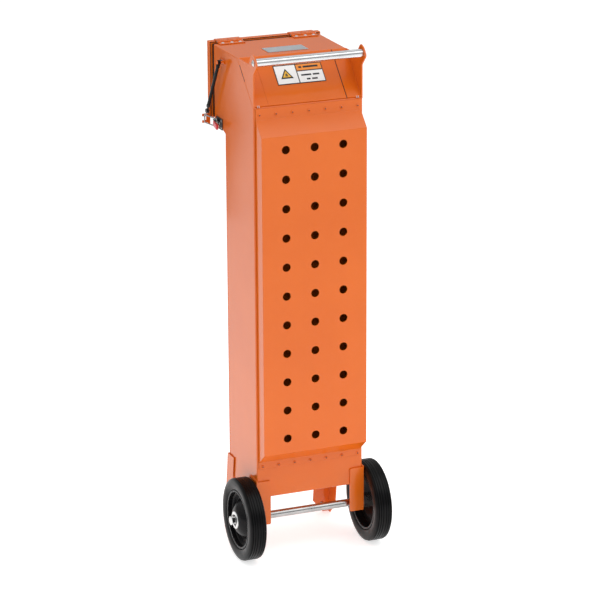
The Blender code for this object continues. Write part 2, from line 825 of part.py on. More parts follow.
def add_lever(side, word, mats):
    """The hand lever with eyes for its pin and for the wire, and its vinyl grip."""
    pivot = make_pivot(
        f"latch_{word}_pivot",
        side_point(out(side, LEVER_PIVOT[0]), LEVER_PIVOT[1], LATCH_Z),
    )
    low, high = LATCH_Z - LEVER_HALF_HEIGHT, LATCH_Z + LEVER_HALF_HEIGHT
    eyes = arc(LEVER_PIVOT, LEVER_EYE_RADIUS, 0, 180, 8) + arc(
        BAIL_PIVOT, LEVER_EYE_RADIUS, 180, 360, 8
    )
    lever = add(
        f"latch_{word}_lever",
        plan_prism(latch_plan(side, eyes), low, high),
        mats["zinc"],
        parent=pivot,
    )
    handle = [(0.0084, 0.2375), (0.0111, 0.2375), (0.0170, 0.188), (0.0148, 0.188)]
    join(lever, plan_prism(latch_plan(side, handle), low, high))
    for (distance, depth), radius in (
        (LEVER_PIVOT, LATCH_PIN_RADIUS),
        (BAIL_PIVOT, BAIL_WIRE_RADIUS),
    ):
        hole = (radius + REST_GAP, low - 0.01, high + 0.01, out(side, distance), depth)
        cut(lever, cylinder_z(*hole, 14))
    grip = [
        (0.0125, 0.2285),
        (0.0158, 0.2285),
        (0.0225, 0.1900),
        (0.0205, 0.1865),
        (0.0174, 0.1875),
    ]
    low, high = LATCH_Z - GRIP_HALF_HEIGHT, LATCH_Z + GRIP_HALF_HEIGHT
    sleeve = plan_prism(latch_plan(side, grip), low, high)
    soften(add(f"latch_{word}_grip", sleeve, mats["grip"], parent=pivot), 0.0012, 2)
    return pivot


def add_bail(side, word, lever_pivot, mats):
    """The wire loop that hangs from the lever, open where its two stubs face."""
    bail_pivot = make_pivot(
        f"latch_{word}_bail_pivot",
        side_point(out(side, BAIL_PIVOT[0]), BAIL_PIVOT[1], LATCH_Z),
        parent=lever_pivot,
    )
    hinge_x, bar_x = out(side, BAIL_PIVOT[0]), out(side, BAIL_BAR[0])
    low, high, stub = LATCH_Z - BAIL_HALF_HEIGHT, LATCH_Z + BAIL_HALF_HEIGHT, 0.0015
    corners = [
        side_point(hinge_x, BAIL_PIVOT[1], LATCH_Z - stub),
        side_point(hinge_x, BAIL_PIVOT[1], low),
        side_point(bar_x, BAIL_BAR[1], low),
        side_point(bar_x, BAIL_BAR[1], high),
        side_point(hinge_x, BAIL_PIVOT[1], high),
        side_point(hinge_x, BAIL_PIVOT[1], LATCH_Z + stub),
    ]
    path = rounded_path(corners, BAIL_WIRE_RADIUS + 0.0004, 4)
    add_wire(
        f"latch_{word}_bail",
        path,
        BAIL_WIRE_RADIUS,
        mats["zinc"],
        bail_pivot,
        world_location(bail_pivot),
    )


def add_keeper(side, word, lid, mats):
    """The catch on the lid: a short wall that the wire pulls on, and two fingers."""
    face = LID_WIDTH / 2 + REST_GAP
    root = face + 0.002

    def span(low, high):
        return side * low, side * high

    heights = (LATCH_Z - 0.0125, LATCH_Z + 0.0105)
    plate = box(span(face, root), KEEPER_DEPTHS, heights)
    keeper = add(f"latch_{word}_keeper", plate, mats["paint"], parent=lid)
    wall_tip = SIDE + BAIL_BAR[0] - BAIL_WIRE_RADIUS - 0.0010
    heights = (LATCH_Z - 0.0068, LATCH_Z + 0.0068)
    join(keeper, box(span(root - 0.001, wall_tip), KEEPER_WALL_DEPTHS, heights))
    finger_tip = SIDE + KEEPER_FINGER_TIP
    for z_low in (LATCH_Z - 0.0115, LATCH_Z + 0.0045):
        heights = (z_low, z_low + 0.006)
        join(keeper, box(span(root - 0.001, finger_tip), KEEPER_FINGER_DEPTHS, heights))


def add_latches(lid, mats):
    for side, word in ((-1, "left"), (1, "right")):
        add_latch_base(side, word, mats)
        lever_pivot = add_lever(side, word, mats)
        add_bail(side, word, lever_pivot, mats)
        add_keeper(side, word, lid, mats)


# ---------------------------------------------------------------- undercarriage


def add_wheel_bracket(side, word, mats):
    """A plate on the tank's side for the axle, with a flange round the front face."""
    face, outer = SIDE + REST_GAP, SIDE + REST_GAP + BRACKET_SHEET
    front, rear = -(REST_GAP + 0.004), BRACKET_REAR_DEPTH
    corner, corner_z = BRACKET_CORNER, BRACKET_LOW_Z + BRACKET_CORNER
    plate = [
        (front, BRACKET_HIGH_Z),
        *arc((front + corner, corner_z), corner, 180, 270, 4),
        *arc((rear - corner, corner_z), corner, 270, 360, 4),
        (rear, BRACKET_HIGH_Z),
    ]
    body = side_prism(plate, side * face, side * outer)
    bracket = add(f"wheel_bracket_{word}", body, mats["paint"])
    outer_x, inner_x = outer - 0.0003, SIDE - BRACKET_FLANGE_WIDTH
    flange = [
        (side * outer_x, BRACKET_HIGH_Z - 0.003),
        (side * inner_x, BRACKET_HIGH_Z - 0.003),
        (side * inner_x, BRACKET_LOW_Z + 0.007),
        (side * (inner_x + 0.002), BRACKET_LOW_Z + 0.005),
        (side * outer_x, BRACKET_LOW_Z + 0.005),
    ]
    join(bracket, front_prism(flange, front + 0.0002, -REST_GAP))
    bore = AXLE_RADIUS + REST_GAP
    ends = sorted((side * (face - 0.01), side * (outer + 0.01)))
    cut(bracket, cylinder_x(bore, *ends, AXLE_DEPTH, WHEEL_RADIUS, 24))


def add_foot(side, word, mats):
    """A leaning angle at a rear corner: a flange on the side and a web behind."""
    face, outer = SIDE + REST_GAP, SIDE + REST_GAP + FOOT_SHEET
    web_front = TANK_DEPTH + 0.0005
    web_back = web_front + FOOT_SHEET
    web_inner = outer - FOOT_WEB_WIDTH
    flange = side_prism(
        [
            (FOOT_FLANGE_FRONT, FOOT_TOP_Z),
            (web_back, FOOT_TOP_Z),
            (web_back, 0),
            (FOOT_FLANGE_FRONT + FOOT_CHAMFER * 0.8, 0),
            (FOOT_FLANGE_FRONT, FOOT_CHAMFER),
        ],
        side * face,
        side * outer,
    )
    web = front_prism(
        [
            (side * (face + 0.001), FOOT_TOP_Z),
            (side * web_inner, FOOT_TOP_Z),
            (side * web_inner, FOOT_CHAMFER),
            (side * (web_inner + FOOT_CHAMFER * 0.8), 0),
            (side * (face + 0.001), 0),
        ],
        web_front,
        web_back,
    )
    for bm in (flange, web):
        for vert in bm.verts:
            vert.co.y += (FOOT_TOP_Z - vert.co.z) * FOOT_LEAN
    foot = add(f"rear_foot_{word}", flange, mats["paint"])
    join(foot, web)


def tyre_profile():
    """A solid tyre: flat tread, round shoulders, bulging walls and a narrower bead."""
    right = [
        (0, WHEEL_RADIUS),
        (0.60 * TYRE_HALF_WIDTH, WHEEL_RADIUS - 0.0006),
        (0.86 * TYRE_HALF_WIDTH, WHEEL_RADIUS - 0.0040),
        (TYRE_HALF_WIDTH, WHEEL_RADIUS - 0.0120),
        (0.93 * TYRE_HALF_WIDTH, BEAD_RADIUS + 0.0100),
        (0.72 * TYRE_HALF_WIDTH, BEAD_RADIUS + 0.0055),
        (0.70 * TYRE_HALF_WIDTH, BEAD_RADIUS),
    ]
    return right + [(-x, radius) for x, radius in reversed(right[1:])]


def disc_face():
    """The outer face of the rim's disc, from its well up the dome to the hub."""
    rise = DOME_FOOT_RADIUS - DOME_TOP_RADIUS
    dome = [(0.42, 0.78), (0.77, 0.46), (0.96, 0.19), (1.00, 0.0)]
    return [
        (0.0060, RIM_WELL_RADIUS),
        (0.0040, RIM_WELL_RADIUS - 0.0065),
        (0.0035, DOME_FOOT_RADIUS),
        *[(up * DOME_HEIGHT, DOME_TOP_RADIUS + share * rise) for up, share in dome],
    ]


def rim_profile():
    """A channel for the tyre, with a lip on each edge, round a dished disc."""
    face = disc_face()
    inner_face = [
        (x - RIM_SHEET, max(radius - RIM_SHEET / 2, DOME_TOP_RADIUS))
        for x, radius in face[1:]
    ]
    return [
        (RIM_HALF_WIDTH - 0.0023, BEAD_RADIUS - REST_GAP),
        (RIM_HALF_WIDTH - 0.0018, RIM_LIP_RADIUS),
        (RIM_HALF_WIDTH, RIM_LIP_RADIUS),
        (RIM_HALF_WIDTH, RIM_WELL_RADIUS),
        *face,
        *reversed(inner_face),
        (0.0020, RIM_WELL_RADIUS),
        (-RIM_HALF_WIDTH, RIM_WELL_RADIUS),
        (-RIM_HALF_WIDTH, RIM_LIP_RADIUS),
        (-RIM_HALF_WIDTH + 0.0018, RIM_LIP_RADIUS),
        (-RIM_HALF_WIDTH + 0.0023, BEAD_RADIUS - REST_GAP),
    ]


def hub_profile():
    """The hub on the axle, with the retainer ring that stands out of the dome."""
    bore = AXLE_RADIUS + RUN_GAP
    ring_low = DOME_HEIGHT - 0.003
    ring_high = DOME_HEIGHT + 0.0022
    return [
        (-HUB_HALF_LENGTH, bore),
        (-HUB_HALF_LENGTH, HUB_RADIUS),
        (HUB_HALF_LENGTH - 0.0055, HUB_RADIUS),
        (ring_low, RETAINER_RADIUS),
        (ring_high - 0.0016, RETAINER_RADIUS),
        (ring_high, RETAINER_RADIUS - 0.0022),
        (ring_high, bore + 0.003),
        (ring_high + 0.0018, bore + 0.003),
        (ring_high + 0.0018, bore),
    ]


def add_wheel(side, word, mats):
    pivot = make_pivot(
        f"wheel_{word}_pivot",
        side_point(side * WHEEL_MIDDLE_X, AXLE_DEPTH, WHEEL_RADIUS),
    )
    place = Matrix.Translation(world_location(pivot))
    for piece, profile, segments, material in (
        ("tyre", tyre_profile(), 36, "rubber"),
        ("rim", rim_profile(), 32, "black_paint"),
        ("hub", hub_profile(), 24, "zinc"),
    ):
        bm = turned(profile, segments)
        if side < 0:
            bm = mirrored(bm)
        add(f"wheel_{word}_{piece}", moved(bm, place), mats[material], parent=pivot)


def add_axle(mats):
    add(
        "axle",
        cylinder_x(AXLE_RADIUS, -AXLE_END_X, AXLE_END_X, AXLE_DEPTH, WHEEL_RADIUS, 24),
        mats["zinc"],
    )
    for side, word in ((-1, "left"), (1, "right")):
        low = AXLE_END_X + REST_GAP
        profile = [
            (low, 0),
            (low, 0.0112),
            (CAP_END_X - 0.0022, 0.0112),
            (CAP_END_X - 0.0004, 0.0092),
            (CAP_END_X, 0),
        ]
        cap = turned(profile, 24, ring=False)
        if side < 0:
            cap = mirrored(cap)
        place = Matrix.Translation(side_point(0, AXLE_DEPTH, WHEEL_RADIUS))
        add(f"axle_cap_{word}", moved(cap, place), mats["zinc"])


def add_undercarriage(mats):
    for side, word in ((-1, "left"), (1, "right")):
        add_wheel_bracket(side, word, mats)
        add_foot(side, word, mats)
        add_wheel(side, word, mats)
    add_axle(mats)


def main():
    clear_scene()
    mats = make_materials()
    add_tank(mats)
    add_head(mats)
    add_guard(mats)
    lid = add_lid(mats)
    add_strut(lid, mats)
    add_latches(lid, mats)
    add_undercarriage(mats)


main()
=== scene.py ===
"""Looks for the wheeled hot oil tank: detailed pieces, materials, lights and camera.

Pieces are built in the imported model's frame, in metres: X across, Y from the user's side
to the back, Z up. A "depth" is a distance behind the tank's front face.
"""

import json
import math

import bmesh
import bpy
from mathutils import Matrix, Vector, noise


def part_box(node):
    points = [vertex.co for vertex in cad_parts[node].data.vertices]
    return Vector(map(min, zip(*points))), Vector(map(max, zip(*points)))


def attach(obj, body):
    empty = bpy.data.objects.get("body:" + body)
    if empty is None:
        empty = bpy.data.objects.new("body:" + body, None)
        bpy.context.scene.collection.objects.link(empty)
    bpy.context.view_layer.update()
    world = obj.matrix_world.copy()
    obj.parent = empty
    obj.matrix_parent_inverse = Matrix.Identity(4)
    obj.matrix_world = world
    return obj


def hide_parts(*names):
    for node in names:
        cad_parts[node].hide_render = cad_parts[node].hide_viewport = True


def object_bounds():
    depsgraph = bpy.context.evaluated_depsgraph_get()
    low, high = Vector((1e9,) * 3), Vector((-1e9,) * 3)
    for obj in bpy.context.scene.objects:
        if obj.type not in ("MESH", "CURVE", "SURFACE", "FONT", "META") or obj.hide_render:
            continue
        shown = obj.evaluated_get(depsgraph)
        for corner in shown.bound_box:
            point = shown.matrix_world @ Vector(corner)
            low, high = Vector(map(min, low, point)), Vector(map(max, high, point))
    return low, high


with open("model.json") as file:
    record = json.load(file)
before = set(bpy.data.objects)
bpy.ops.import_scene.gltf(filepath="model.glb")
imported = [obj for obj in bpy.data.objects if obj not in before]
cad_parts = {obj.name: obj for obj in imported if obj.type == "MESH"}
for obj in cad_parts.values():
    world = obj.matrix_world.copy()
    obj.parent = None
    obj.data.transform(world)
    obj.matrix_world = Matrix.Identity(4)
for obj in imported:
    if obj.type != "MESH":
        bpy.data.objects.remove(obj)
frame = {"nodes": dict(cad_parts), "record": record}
cad_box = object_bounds()

TANK_LOW, TANK_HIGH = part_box("tank_shell")
FRONT_Y = TANK_LOW.y
SIDE = TANK_HIGH.x
HEAD_TOP_Z = TANK_HIGH.z
TANK_DEPTH = 0.188
SLOPE_FOOT_Z, SLOPE_TOP_DEPTH = 1.112, 0.100
SLOPE_ANGLE = math.atan2(HEAD_TOP_Z - SLOPE_FOOT_Z, SLOPE_TOP_DEPTH)
BAR_DEPTH, BAR_Z = -0.003, 1.2204
AXLE_DEPTH, AXLE_Z, AXLE_RADIUS = 0.018, 0.100, 0.0095
HINGE_DEPTH, HINGE_Z = 0.2645, 1.2132
STRUT_Z, LATCH_Z = 1.183, 1.027
GAP = 0.0003  # the clearance at rest between neighbouring CAD nodes
SHEET = 0.002
CHEEK_SHEET = 0.003
CHEEK_FLANGE = 0.038
SLOPE_SHEET_DEPTHS = (0.003, 0.098)


# ---------------------------------------------------------------- materials


class Look:
    """A node material in the making. Patterns use object coordinates, in metres."""

    def __init__(self, name):
        self.material = bpy.data.materials.new(name)
        self.material.use_nodes = True
        self.tree = self.material.node_tree
        self.shader = self.tree.nodes["Principled BSDF"]
        self.place = self.add("ShaderNodeTexCoord").outputs["Object"]

    def add(self, kind, settings=None, **inputs):
        node = self.tree.nodes.new(kind)
        for key, value in (settings or {}).items():
            setattr(node, key, value)
        for key, value in inputs.items():
            self.feed(node.inputs[key.replace("_", " ")], value)
        return node

    def feed(self, socket, value):
        if isinstance(value, bpy.types.NodeSocket):
            self.tree.links.new(value, socket)
        else:
            socket.default_value = value

    def noise(self, scale, detail=4.0, roughness=0.55, stretch=(1, 1, 1)):
        place = self.add("ShaderNodeMapping", Vector=self.place, Scale=stretch)
        node = self.add(
            "ShaderNodeTexNoise",
            Vector=place.outputs["Vector"],
            Scale=scale,
            Detail=detail,
            Roughness=roughness,
        )
        return node.outputs["Fac"]

    def remap(self, value, low, high, to_low=0.0, to_high=1.0):
        node = self.add("ShaderNodeMapRange", {"clamp": True}, Value=value)
        for key, number in (
            ("From Min", low),
            ("From Max", high),
            ("To Min", to_low),
            ("To Max", to_high),
        ):
            self.feed(node.inputs[key], number)
        return node.outputs["Result"]

    def math(self, operation, a, b):
        node = self.add("ShaderNodeMath", {"operation": operation})
        self.feed(node.inputs[0], a)
        self.feed(node.inputs[1], b)
        return node.outputs["Value"]

    def mix(self, share, a, b):
        node = self.add("ShaderNodeMix", {"data_type": "RGBA"})
        self.feed(node.inputs["Factor"], share)
        self.feed(node.inputs[6], a if isinstance(a, bpy.types.NodeSocket) else (*a, 1))
        self.feed(node.inputs[7], b if isinstance(b, bpy.types.NodeSocket) else (*b, 1))
        return node.outputs[2]

    def edges(self, radius):
        """1 on edges that a hand or a floor would rub, 0 on flat faces; it also places
        painted edge highlights.
        """
        bevel = self.add("ShaderNodeBevel", {"samples": 4}, Radius=radius)
        normal = self.add("ShaderNodeNewGeometry").outputs["True Normal"]
        dot = self.add("ShaderNodeVectorMath", {"operation": "DOT_PRODUCT"})
        self.feed(dot.inputs[0], bevel.outputs["Normal"])
        self.feed(dot.inputs[1], normal)
        return self.remap(dot.outputs["Value"], 0.97, 0.80)

    def height(self):
        split = self.add("ShaderNodeSeparateXYZ", Vector=self.place)
        return split.outputs["Z"]

    def bump(self, height, strength, distance):
        node = self.add(
            "ShaderNodeBump", Height=height, Strength=strength, Distance=distance
        )
        self.tree.links.new(node.outputs["Normal"], self.shader.inputs["Normal"])

    def finish(self, colour, roughness, **constants):
        if not isinstance(colour, bpy.types.NodeSocket):
            colour = (*colour, 1)
        self.feed(self.shader.inputs["Base Color"], colour)
        self.feed(self.shader.inputs["Roughness"], roughness)
        for key, value in constants.items():
            self.shader.inputs[key.replace("_", " ")].default_value = value
        return self.material


def powder_coat(name, deep, bright, worn_and_highlight, gloss=0.13, dusty=0.12, ior=1.45):
    """Glossy powder coat: orange peel, slight patches, rubbed edges with a painted edge
    highlight, dust low down.
    """
    look = Look(name)
    patches = look.remap(look.noise(5.0, 3.0), 0.35, 0.65)
    speckle = look.noise(420.0, 2.0)
    colour = look.mix(patches, deep, bright)
    colour = look.mix(look.remap(speckle, 0.55, 0.75, 0.0, 0.10), colour, worn_and_highlight)
    # Edges take the lighter worn colour: rubbed wear, and a painted edge highlight.
    rub_and_highlight = look.math(
        "MULTIPLY", look.edges(0.0012), look.remap(look.noise(60.0, 5.0), 0.42, 0.62)
    )
    colour = look.mix(look.math("MULTIPLY", rub_and_highlight, 0.30), colour, worn_and_highlight)
    low = look.remap(look.height(), 0.25, 0.0, 0.0, dusty)
    dust = look.math("MULTIPLY", low, look.remap(look.noise(24.0, 6.0), 0.42, 0.70))
    colour = look.mix(dust, colour, (0.30, 0.20, 0.14))
    smear = look.noise(9.0, 6.0, 0.6, (1, 1, 0.25))
    rough = look.remap(smear, 0.3, 0.75, gloss, gloss + 0.10)
    rough = look.math("ADD", rough, look.math("MULTIPLY", dust, 0.4))
    peel = look.math(
        "ADD", look.noise(260.0, 2.0), look.math("MULTIPLY", look.noise(900.0, 2.0), 0.4)
    )
    look.bump(peel, 0.10, 0.0004)
    return look.finish(
        colour, rough, Coat_Weight=0.10, Coat_Roughness=0.10, IOR=ior
    )


def bare_metal(name, base, tint, rough, along=(1, 1, 1), grain=500.0, metallic=1.0):
    """Plated or brushed metal with fine marks along one direction, dull smudges and pale
    edges, rubbed wear with a painted edge highlight.
    """
    look = Look(name)
    smudge = look.noise(28.0, 5.0)
    marks = look.noise(grain, 3.0, 0.6, along)
    colour = look.mix(look.remap(smudge, 0.4, 0.7), base, tint)
    # Edges go pale: rubbed wear, and a painted edge highlight.
    colour = look.mix(
        look.math("MULTIPLY", look.edges(0.0006), 0.4), colour, (0.92, 0.92, 0.93)
    )
    level = look.math("ADD", smudge, look.math("MULTIPLY", marks, 0.5))
    look.bump(marks, 0.05, 0.0002)
    return look.finish(
        colour, look.remap(level, 0.5, 1.0, rough, rough + 0.16), Metallic=metallic
    )


def black_rubber(name, base, dusty, rough):
    """Moulded rubber: fine grain, dull dust in patches and a scuffed tread."""
    look = Look(name)
    dust = look.remap(look.noise(36.0, 6.0), 0.48, 0.78, 0.0, 0.55)
    scuff = look.math(
        "MULTIPLY", look.edges(0.002), look.remap(look.noise(120.0, 4.0), 0.45, 0.6)
    )
    colour = look.mix(dust, base, dusty)
    colour = look.mix(look.math("MULTIPLY", scuff, 0.5), colour, dusty)
    look.bump(look.noise(700.0, 3.0), 0.12, 0.0004)
    rough = look.remap(dust, 0.0, 0.5, rough, rough + 0.2)
    return look.finish(colour, rough, IOR=1.22)


def plain_film(name, base, rough):
    """Printed film or thin plate with faint scuffs and a slight ripple."""
    look = Look(name)
    scuff = look.remap(look.noise(90.0, 6.0, 0.65), 0.52, 0.75, 0.0, 0.18)
    shade = tuple(channel * 0.55 + 0.06 for channel in base)
    look.bump(look.noise(140.0, 2.0), 0.06, 0.0003)
    return look.finish(
        look.mix(scuff, base, shade),
        look.remap(scuff, 0.0, 0.18, rough, rough + 0.2),
    )


PAINT = powder_coat(
    "orange_paint", (0.745, 0.134, 0.0050), (0.785, 0.148, 0.0070), (0.84, 0.24, 0.05)
)
# Near-black paint that is painted shade: the guard's hidden back, seen through the vents,
# and the lid inner plate's edges, seen in the gap round the lid.
PAINTED_SHADE = powder_coat(
    "painted_shade_black",
    (0.010, 0.004, 0.003),
    (0.016, 0.006, 0.004),
    (0.03, 0.012, 0.008),
    gloss=0.6,
    dusty=0.03,
    ior=1.2,
)
ENAMEL = powder_coat(
    "black_enamel",
    (0.005, 0.005, 0.006),
    (0.009, 0.009, 0.010),
    (0.06, 0.06, 0.06),
    gloss=0.24,
    dusty=0.03,
    ior=1.18,
)
CHROME = bare_metal(
    "chrome", (0.70, 0.71, 0.72), (0.60, 0.61, 0.62), 0.13, along=(0.04, 1, 1)
)
STEEL = bare_metal(
    "bright_steel", (0.46, 0.46, 0.46), (0.36, 0.36, 0.355), 0.15, along=(0.04, 1, 1)
)
ZINC = bare_metal("zinc_plate", (0.76, 0.77, 0.77), (0.60, 0.60, 0.58), 0.22)
# Dark steel. It also stands as painted shade in the rivet holes, the hubs' centres and
# notches and the axle necks, and as a painted highlight on the rims' lips.
DARK = bare_metal(
    "dark_steel", (0.034, 0.036, 0.038), (0.020, 0.019, 0.019), 0.34, metallic=0.7
)
PLATE = bare_metal(
    "aluminium_plate",
    (0.62, 0.66, 0.69),
    (0.54, 0.58, 0.61),
    0.30,
    along=(0.04, 1, 1),
    grain=900.0,
)
RUBBER = black_rubber(
    "black_rubber", (0.003, 0.003, 0.0035), (0.012, 0.012, 0.011), 0.28
)
GASKET = black_rubber(
    "gasket_rubber", (0.007, 0.007, 0.007), (0.022, 0.021, 0.020), 0.6
)
GRIP = plain_film("red_vinyl", (0.66, 0.025, 0.045), 0.28)
WHITE = plain_film("label_white", (0.92, 0.92, 0.91), 0.30)
# Label black also draws painted shade: the gap beside the slope cover and the slits in the
# side seams.
BLACK = plain_film("label_black_and_gap_shade", (0.012, 0.012, 0.014), 0.30)
AMBER = plain_film("label_amber", (0.90, 0.27, 0.012), 0.30)
YELLOW = plain_film("label_yellow", (0.92, 0.50, 0.02), 0.30)


# ---------------------------------------------------------------- shapes


def point(x, depth, z):
    return Vector((x, FRONT_Y + depth, z))


def prism(points, sweep):
    """A flat outline of 3D points, extruded along the vector sweep."""
    bm = bmesh.new()
    face = bm.faces.new([bm.verts.new(p) for p in points])
    made = bmesh.ops.extrude_face_region(bm, geom=[face])["geom"]
    bmesh.ops.translate(
        bm, vec=sweep, verts=[v for v in made if isinstance(v, bmesh.types.BMVert)]
    )
    bmesh.ops.recalc_face_normals(bm, faces=bm.faces)
    return bm


def side_prism(outline, x_low, x_high):
    """An outline of (depth, z) points, extruded across."""
    points = [point(x_low, depth, z) for depth, z in outline]
    return prism(points, Vector((x_high - x_low, 0, 0)))


def front_prism(outline, depth_low, depth_high):
    """An outline of (x, z) points, extruded from front to back."""
    points = [point(x, depth_low, z) for x, z in outline]
    return prism(points, Vector((0, depth_high - depth_low, 0)))


def plan_prism(outline, z_low, z_high):
    """An outline of (x, depth) points, extruded upwards."""
    points = [point(x, depth, z_low) for x, depth in outline]
    return prism(points, Vector((0, 0, z_high - z_low)))


def box(x_range, depth_range, z_range):
    (x0, x1), (d0, d1), (z0, z1) = x_range, depth_range, z_range
    return side_prism([(d0, z0), (d1, z0), (d1, z1), (d0, z1)], x0, x1)


def turned(profile, segments=64, ring=True):
    """A profile of (distance, radius) points turned about the X axis."""
    bm = bmesh.new()
    verts = [bm.verts.new((x, 0, radius)) for x, radius in profile]
    pairs = list(zip(verts, verts[1:]))
    if ring:
        pairs.append((verts[-1], verts[0]))
    edges = [bm.edges.new(pair) for pair in pairs]
    bmesh.ops.spin(
        bm,
        geom=verts + edges,
        cent=(0, 0, 0),
        axis=(1, 0, 0),
        angle=2 * math.pi,
        steps=segments,
        use_merge=True,
    )
    bmesh.ops.remove_doubles(bm, verts=bm.verts, dist=1e-7)
    bmesh.ops.recalc_face_normals(bm, faces=bm.faces)
    return bm


def moved(bm, matrix):
    bmesh.ops.transform(bm, matrix=matrix, verts=bm.verts)
    if matrix.determinant() < 0:
        bmesh.ops.reverse_faces(bm, faces=bm.faces)
    return bm


def aimed(direction, place):
    """The matrix that takes the X axis to direction and the origin to place."""
    turn = Vector(direction).to_track_quat("X", "Z").to_matrix().to_4x4()
    return Matrix.Translation(place) @ turn


def mirror_x(side):
    return Matrix.Diagonal((side, 1, 1, 1))


def rod(radius, low, high, chamfer=0.0, segments=40):
    profile = [(low, 0), (low, radius - chamfer), (low + chamfer, radius)]
    profile += [(high - chamfer, radius), (high, radius - chamfer), (high, 0)]
    if not chamfer:
        profile = [(low, 0), (low, radius), (high, radius), (high, 0)]
    return turned(profile, segments, ring=False)


def bar_x(radius, low, high, depth, z, chamfer=0.0, segments=40):
    shift = Matrix.Translation(point(0, depth, z))
    return moved(rod(radius, low, high, chamfer, segments), shift)


def merged(*parts):
    """Several separate closed shapes in one mesh."""
    mesh = bpy.data.meshes.new("parts")
    whole = bmesh.new()
    for part in parts:
        part.to_mesh(mesh)
        part.free()
        whole.from_mesh(mesh)
    bpy.data.meshes.remove(mesh)
    return whole


def arc(centre, radius, start_deg, end_deg, steps):
    angles = [
        math.radians(start_deg + (end_deg - start_deg) * i / steps)
        for i in range(steps + 1)
    ]
    return [
        (centre[0] + radius * math.cos(a), centre[1] + radius * math.sin(a))
        for a in angles
    ]


def dome_head(radius, height, recess=None):
    """A screw or rivet head along X, with a round recess if one is asked for."""
    profile = [(0, radius), (0.25 * height, radius)]
    profile += [
        (height * math.sin(a), radius * math.cos(a) * 0.98)
        for a in (math.radians(d) for d in (30, 50, 68, 80))
    ]
    if recess:
        top = profile[-1]
        profile[-1] = (top[0], recess * 1.15)
        profile += [(top[0] - 0.1 * height, recess), (0.35 * height, recess * 0.9)]
        profile.append((0.3 * height, 0))
    else:
        profile.append((height, 0))
    return turned([(0, 0), *profile], 24, ring=False)


# ---------------------------------------------------------------- pieces


def bake(obj):
    """Applies the object's modifiers to its mesh."""
    bpy.context.view_layer.update()
    depsgraph = bpy.context.evaluated_depsgraph_get()
    mesh = bpy.data.meshes.new_from_object(obj.evaluated_get(depsgraph))
    obj.modifiers.clear()
    obj.data = mesh


def combine(obj, bm, operation):
    mesh = bpy.data.meshes.new("helper")
    bm.to_mesh(mesh)
    bm.free()
    helper = bpy.data.objects.new("helper", mesh)
    bpy.context.scene.collection.objects.link(helper)
    boolean = obj.modifiers.new("Boolean", "BOOLEAN")
    boolean.operation, boolean.solver, boolean.object = operation, "EXACT", helper
    bake(obj)
    bpy.data.objects.remove(helper)
    bpy.data.meshes.remove(mesh)


def round_edges(obj, width, segments=2, angle=38):
    bevel = obj.modifiers.new("Edges", "BEVEL")
    bevel.width, bevel.segments = width, segments
    bevel.limit_method, bevel.angle_limit = "ANGLE", math.radians(angle)
    bevel.use_clamp_overlap = True
    bake(obj)


def smooth_shade(obj, angle=32):
    obj.data.shade_smooth()
    obj.data.set_sharp_from_angle(angle=math.radians(angle))
    weighted = obj.modifiers.new("Shading", "WEIGHTED_NORMAL")
    weighted.keep_sharp = True


def piece(name, bm, material, body, stands_for=(), bends=None, joins=(), cuts=(), edge=0.0):
    """A finished piece. bends rounds the first shape, and edge the finished one."""
    mesh = bpy.data.meshes.new(name)
    bm.to_mesh(mesh)
    bm.free()
    mesh.materials.append(material)
    obj = bpy.data.objects.new(name, mesh)
    bpy.context.scene.collection.objects.link(obj)
    if bends:
        round_edges(obj, *bends)
    for shape in joins:
        combine(obj, shape, "UNION")
    for shape in cuts:
        combine(obj, shape, "DIFFERENCE")
    if edge:
        round_edges(obj, edge, 2)
    smooth_shade(obj)
    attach(obj, body)
    if stands_for:
        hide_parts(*stands_for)
    return obj


def wire(name, path, radius, material, body, stands_for=()):
    """A round wire or weld bead along world points."""
    curve = bpy.data.curves.new(name, "CURVE")
    curve.dimensions = "3D"
    curve.bevel_depth, curve.bevel_resolution = radius, 4
    curve.use_fill_caps = True
    spline = curve.splines.new("POLY")
    spline.points.add(len(path) - 1)
    for spline_point, place in zip(spline.points, path):
        spline_point.co = (*place, 1.0)
    curve.materials.append(material)
    obj = bpy.data.objects.new(name, curve)
    bpy.context.scene.collection.objects.link(obj)
    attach(obj, body)
    if stands_for:
        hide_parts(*stands_for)
    return obj


def on_slope(x, depth, lift):
    """The point above the slope at this x and depth, lifted square to it."""
    z = SLOPE_FOOT_Z + depth * math.tan(SLOPE_ANGLE)
    return point(
        x,
        depth - math.sin(SLOPE_ANGLE) * lift,
        z + math.cos(SLOPE_ANGLE) * lift,
    )


def slope_plate(outline, low, high):
    """An outline of (x, depth) points on the slope, extruded square to it."""
    rise = Vector((0, -math.sin(SLOPE_ANGLE), math.cos(SLOPE_ANGLE))) * (high - low)
    return prism([on_slope(x, depth, low) for x, depth in outline], rise)


def rectangle(x0, x1, d0, d1):
    return [(x0, d0), (x1, d0), (x1, d1), (x0, d1)]


# ---------------------------------------------------------------- tank and head


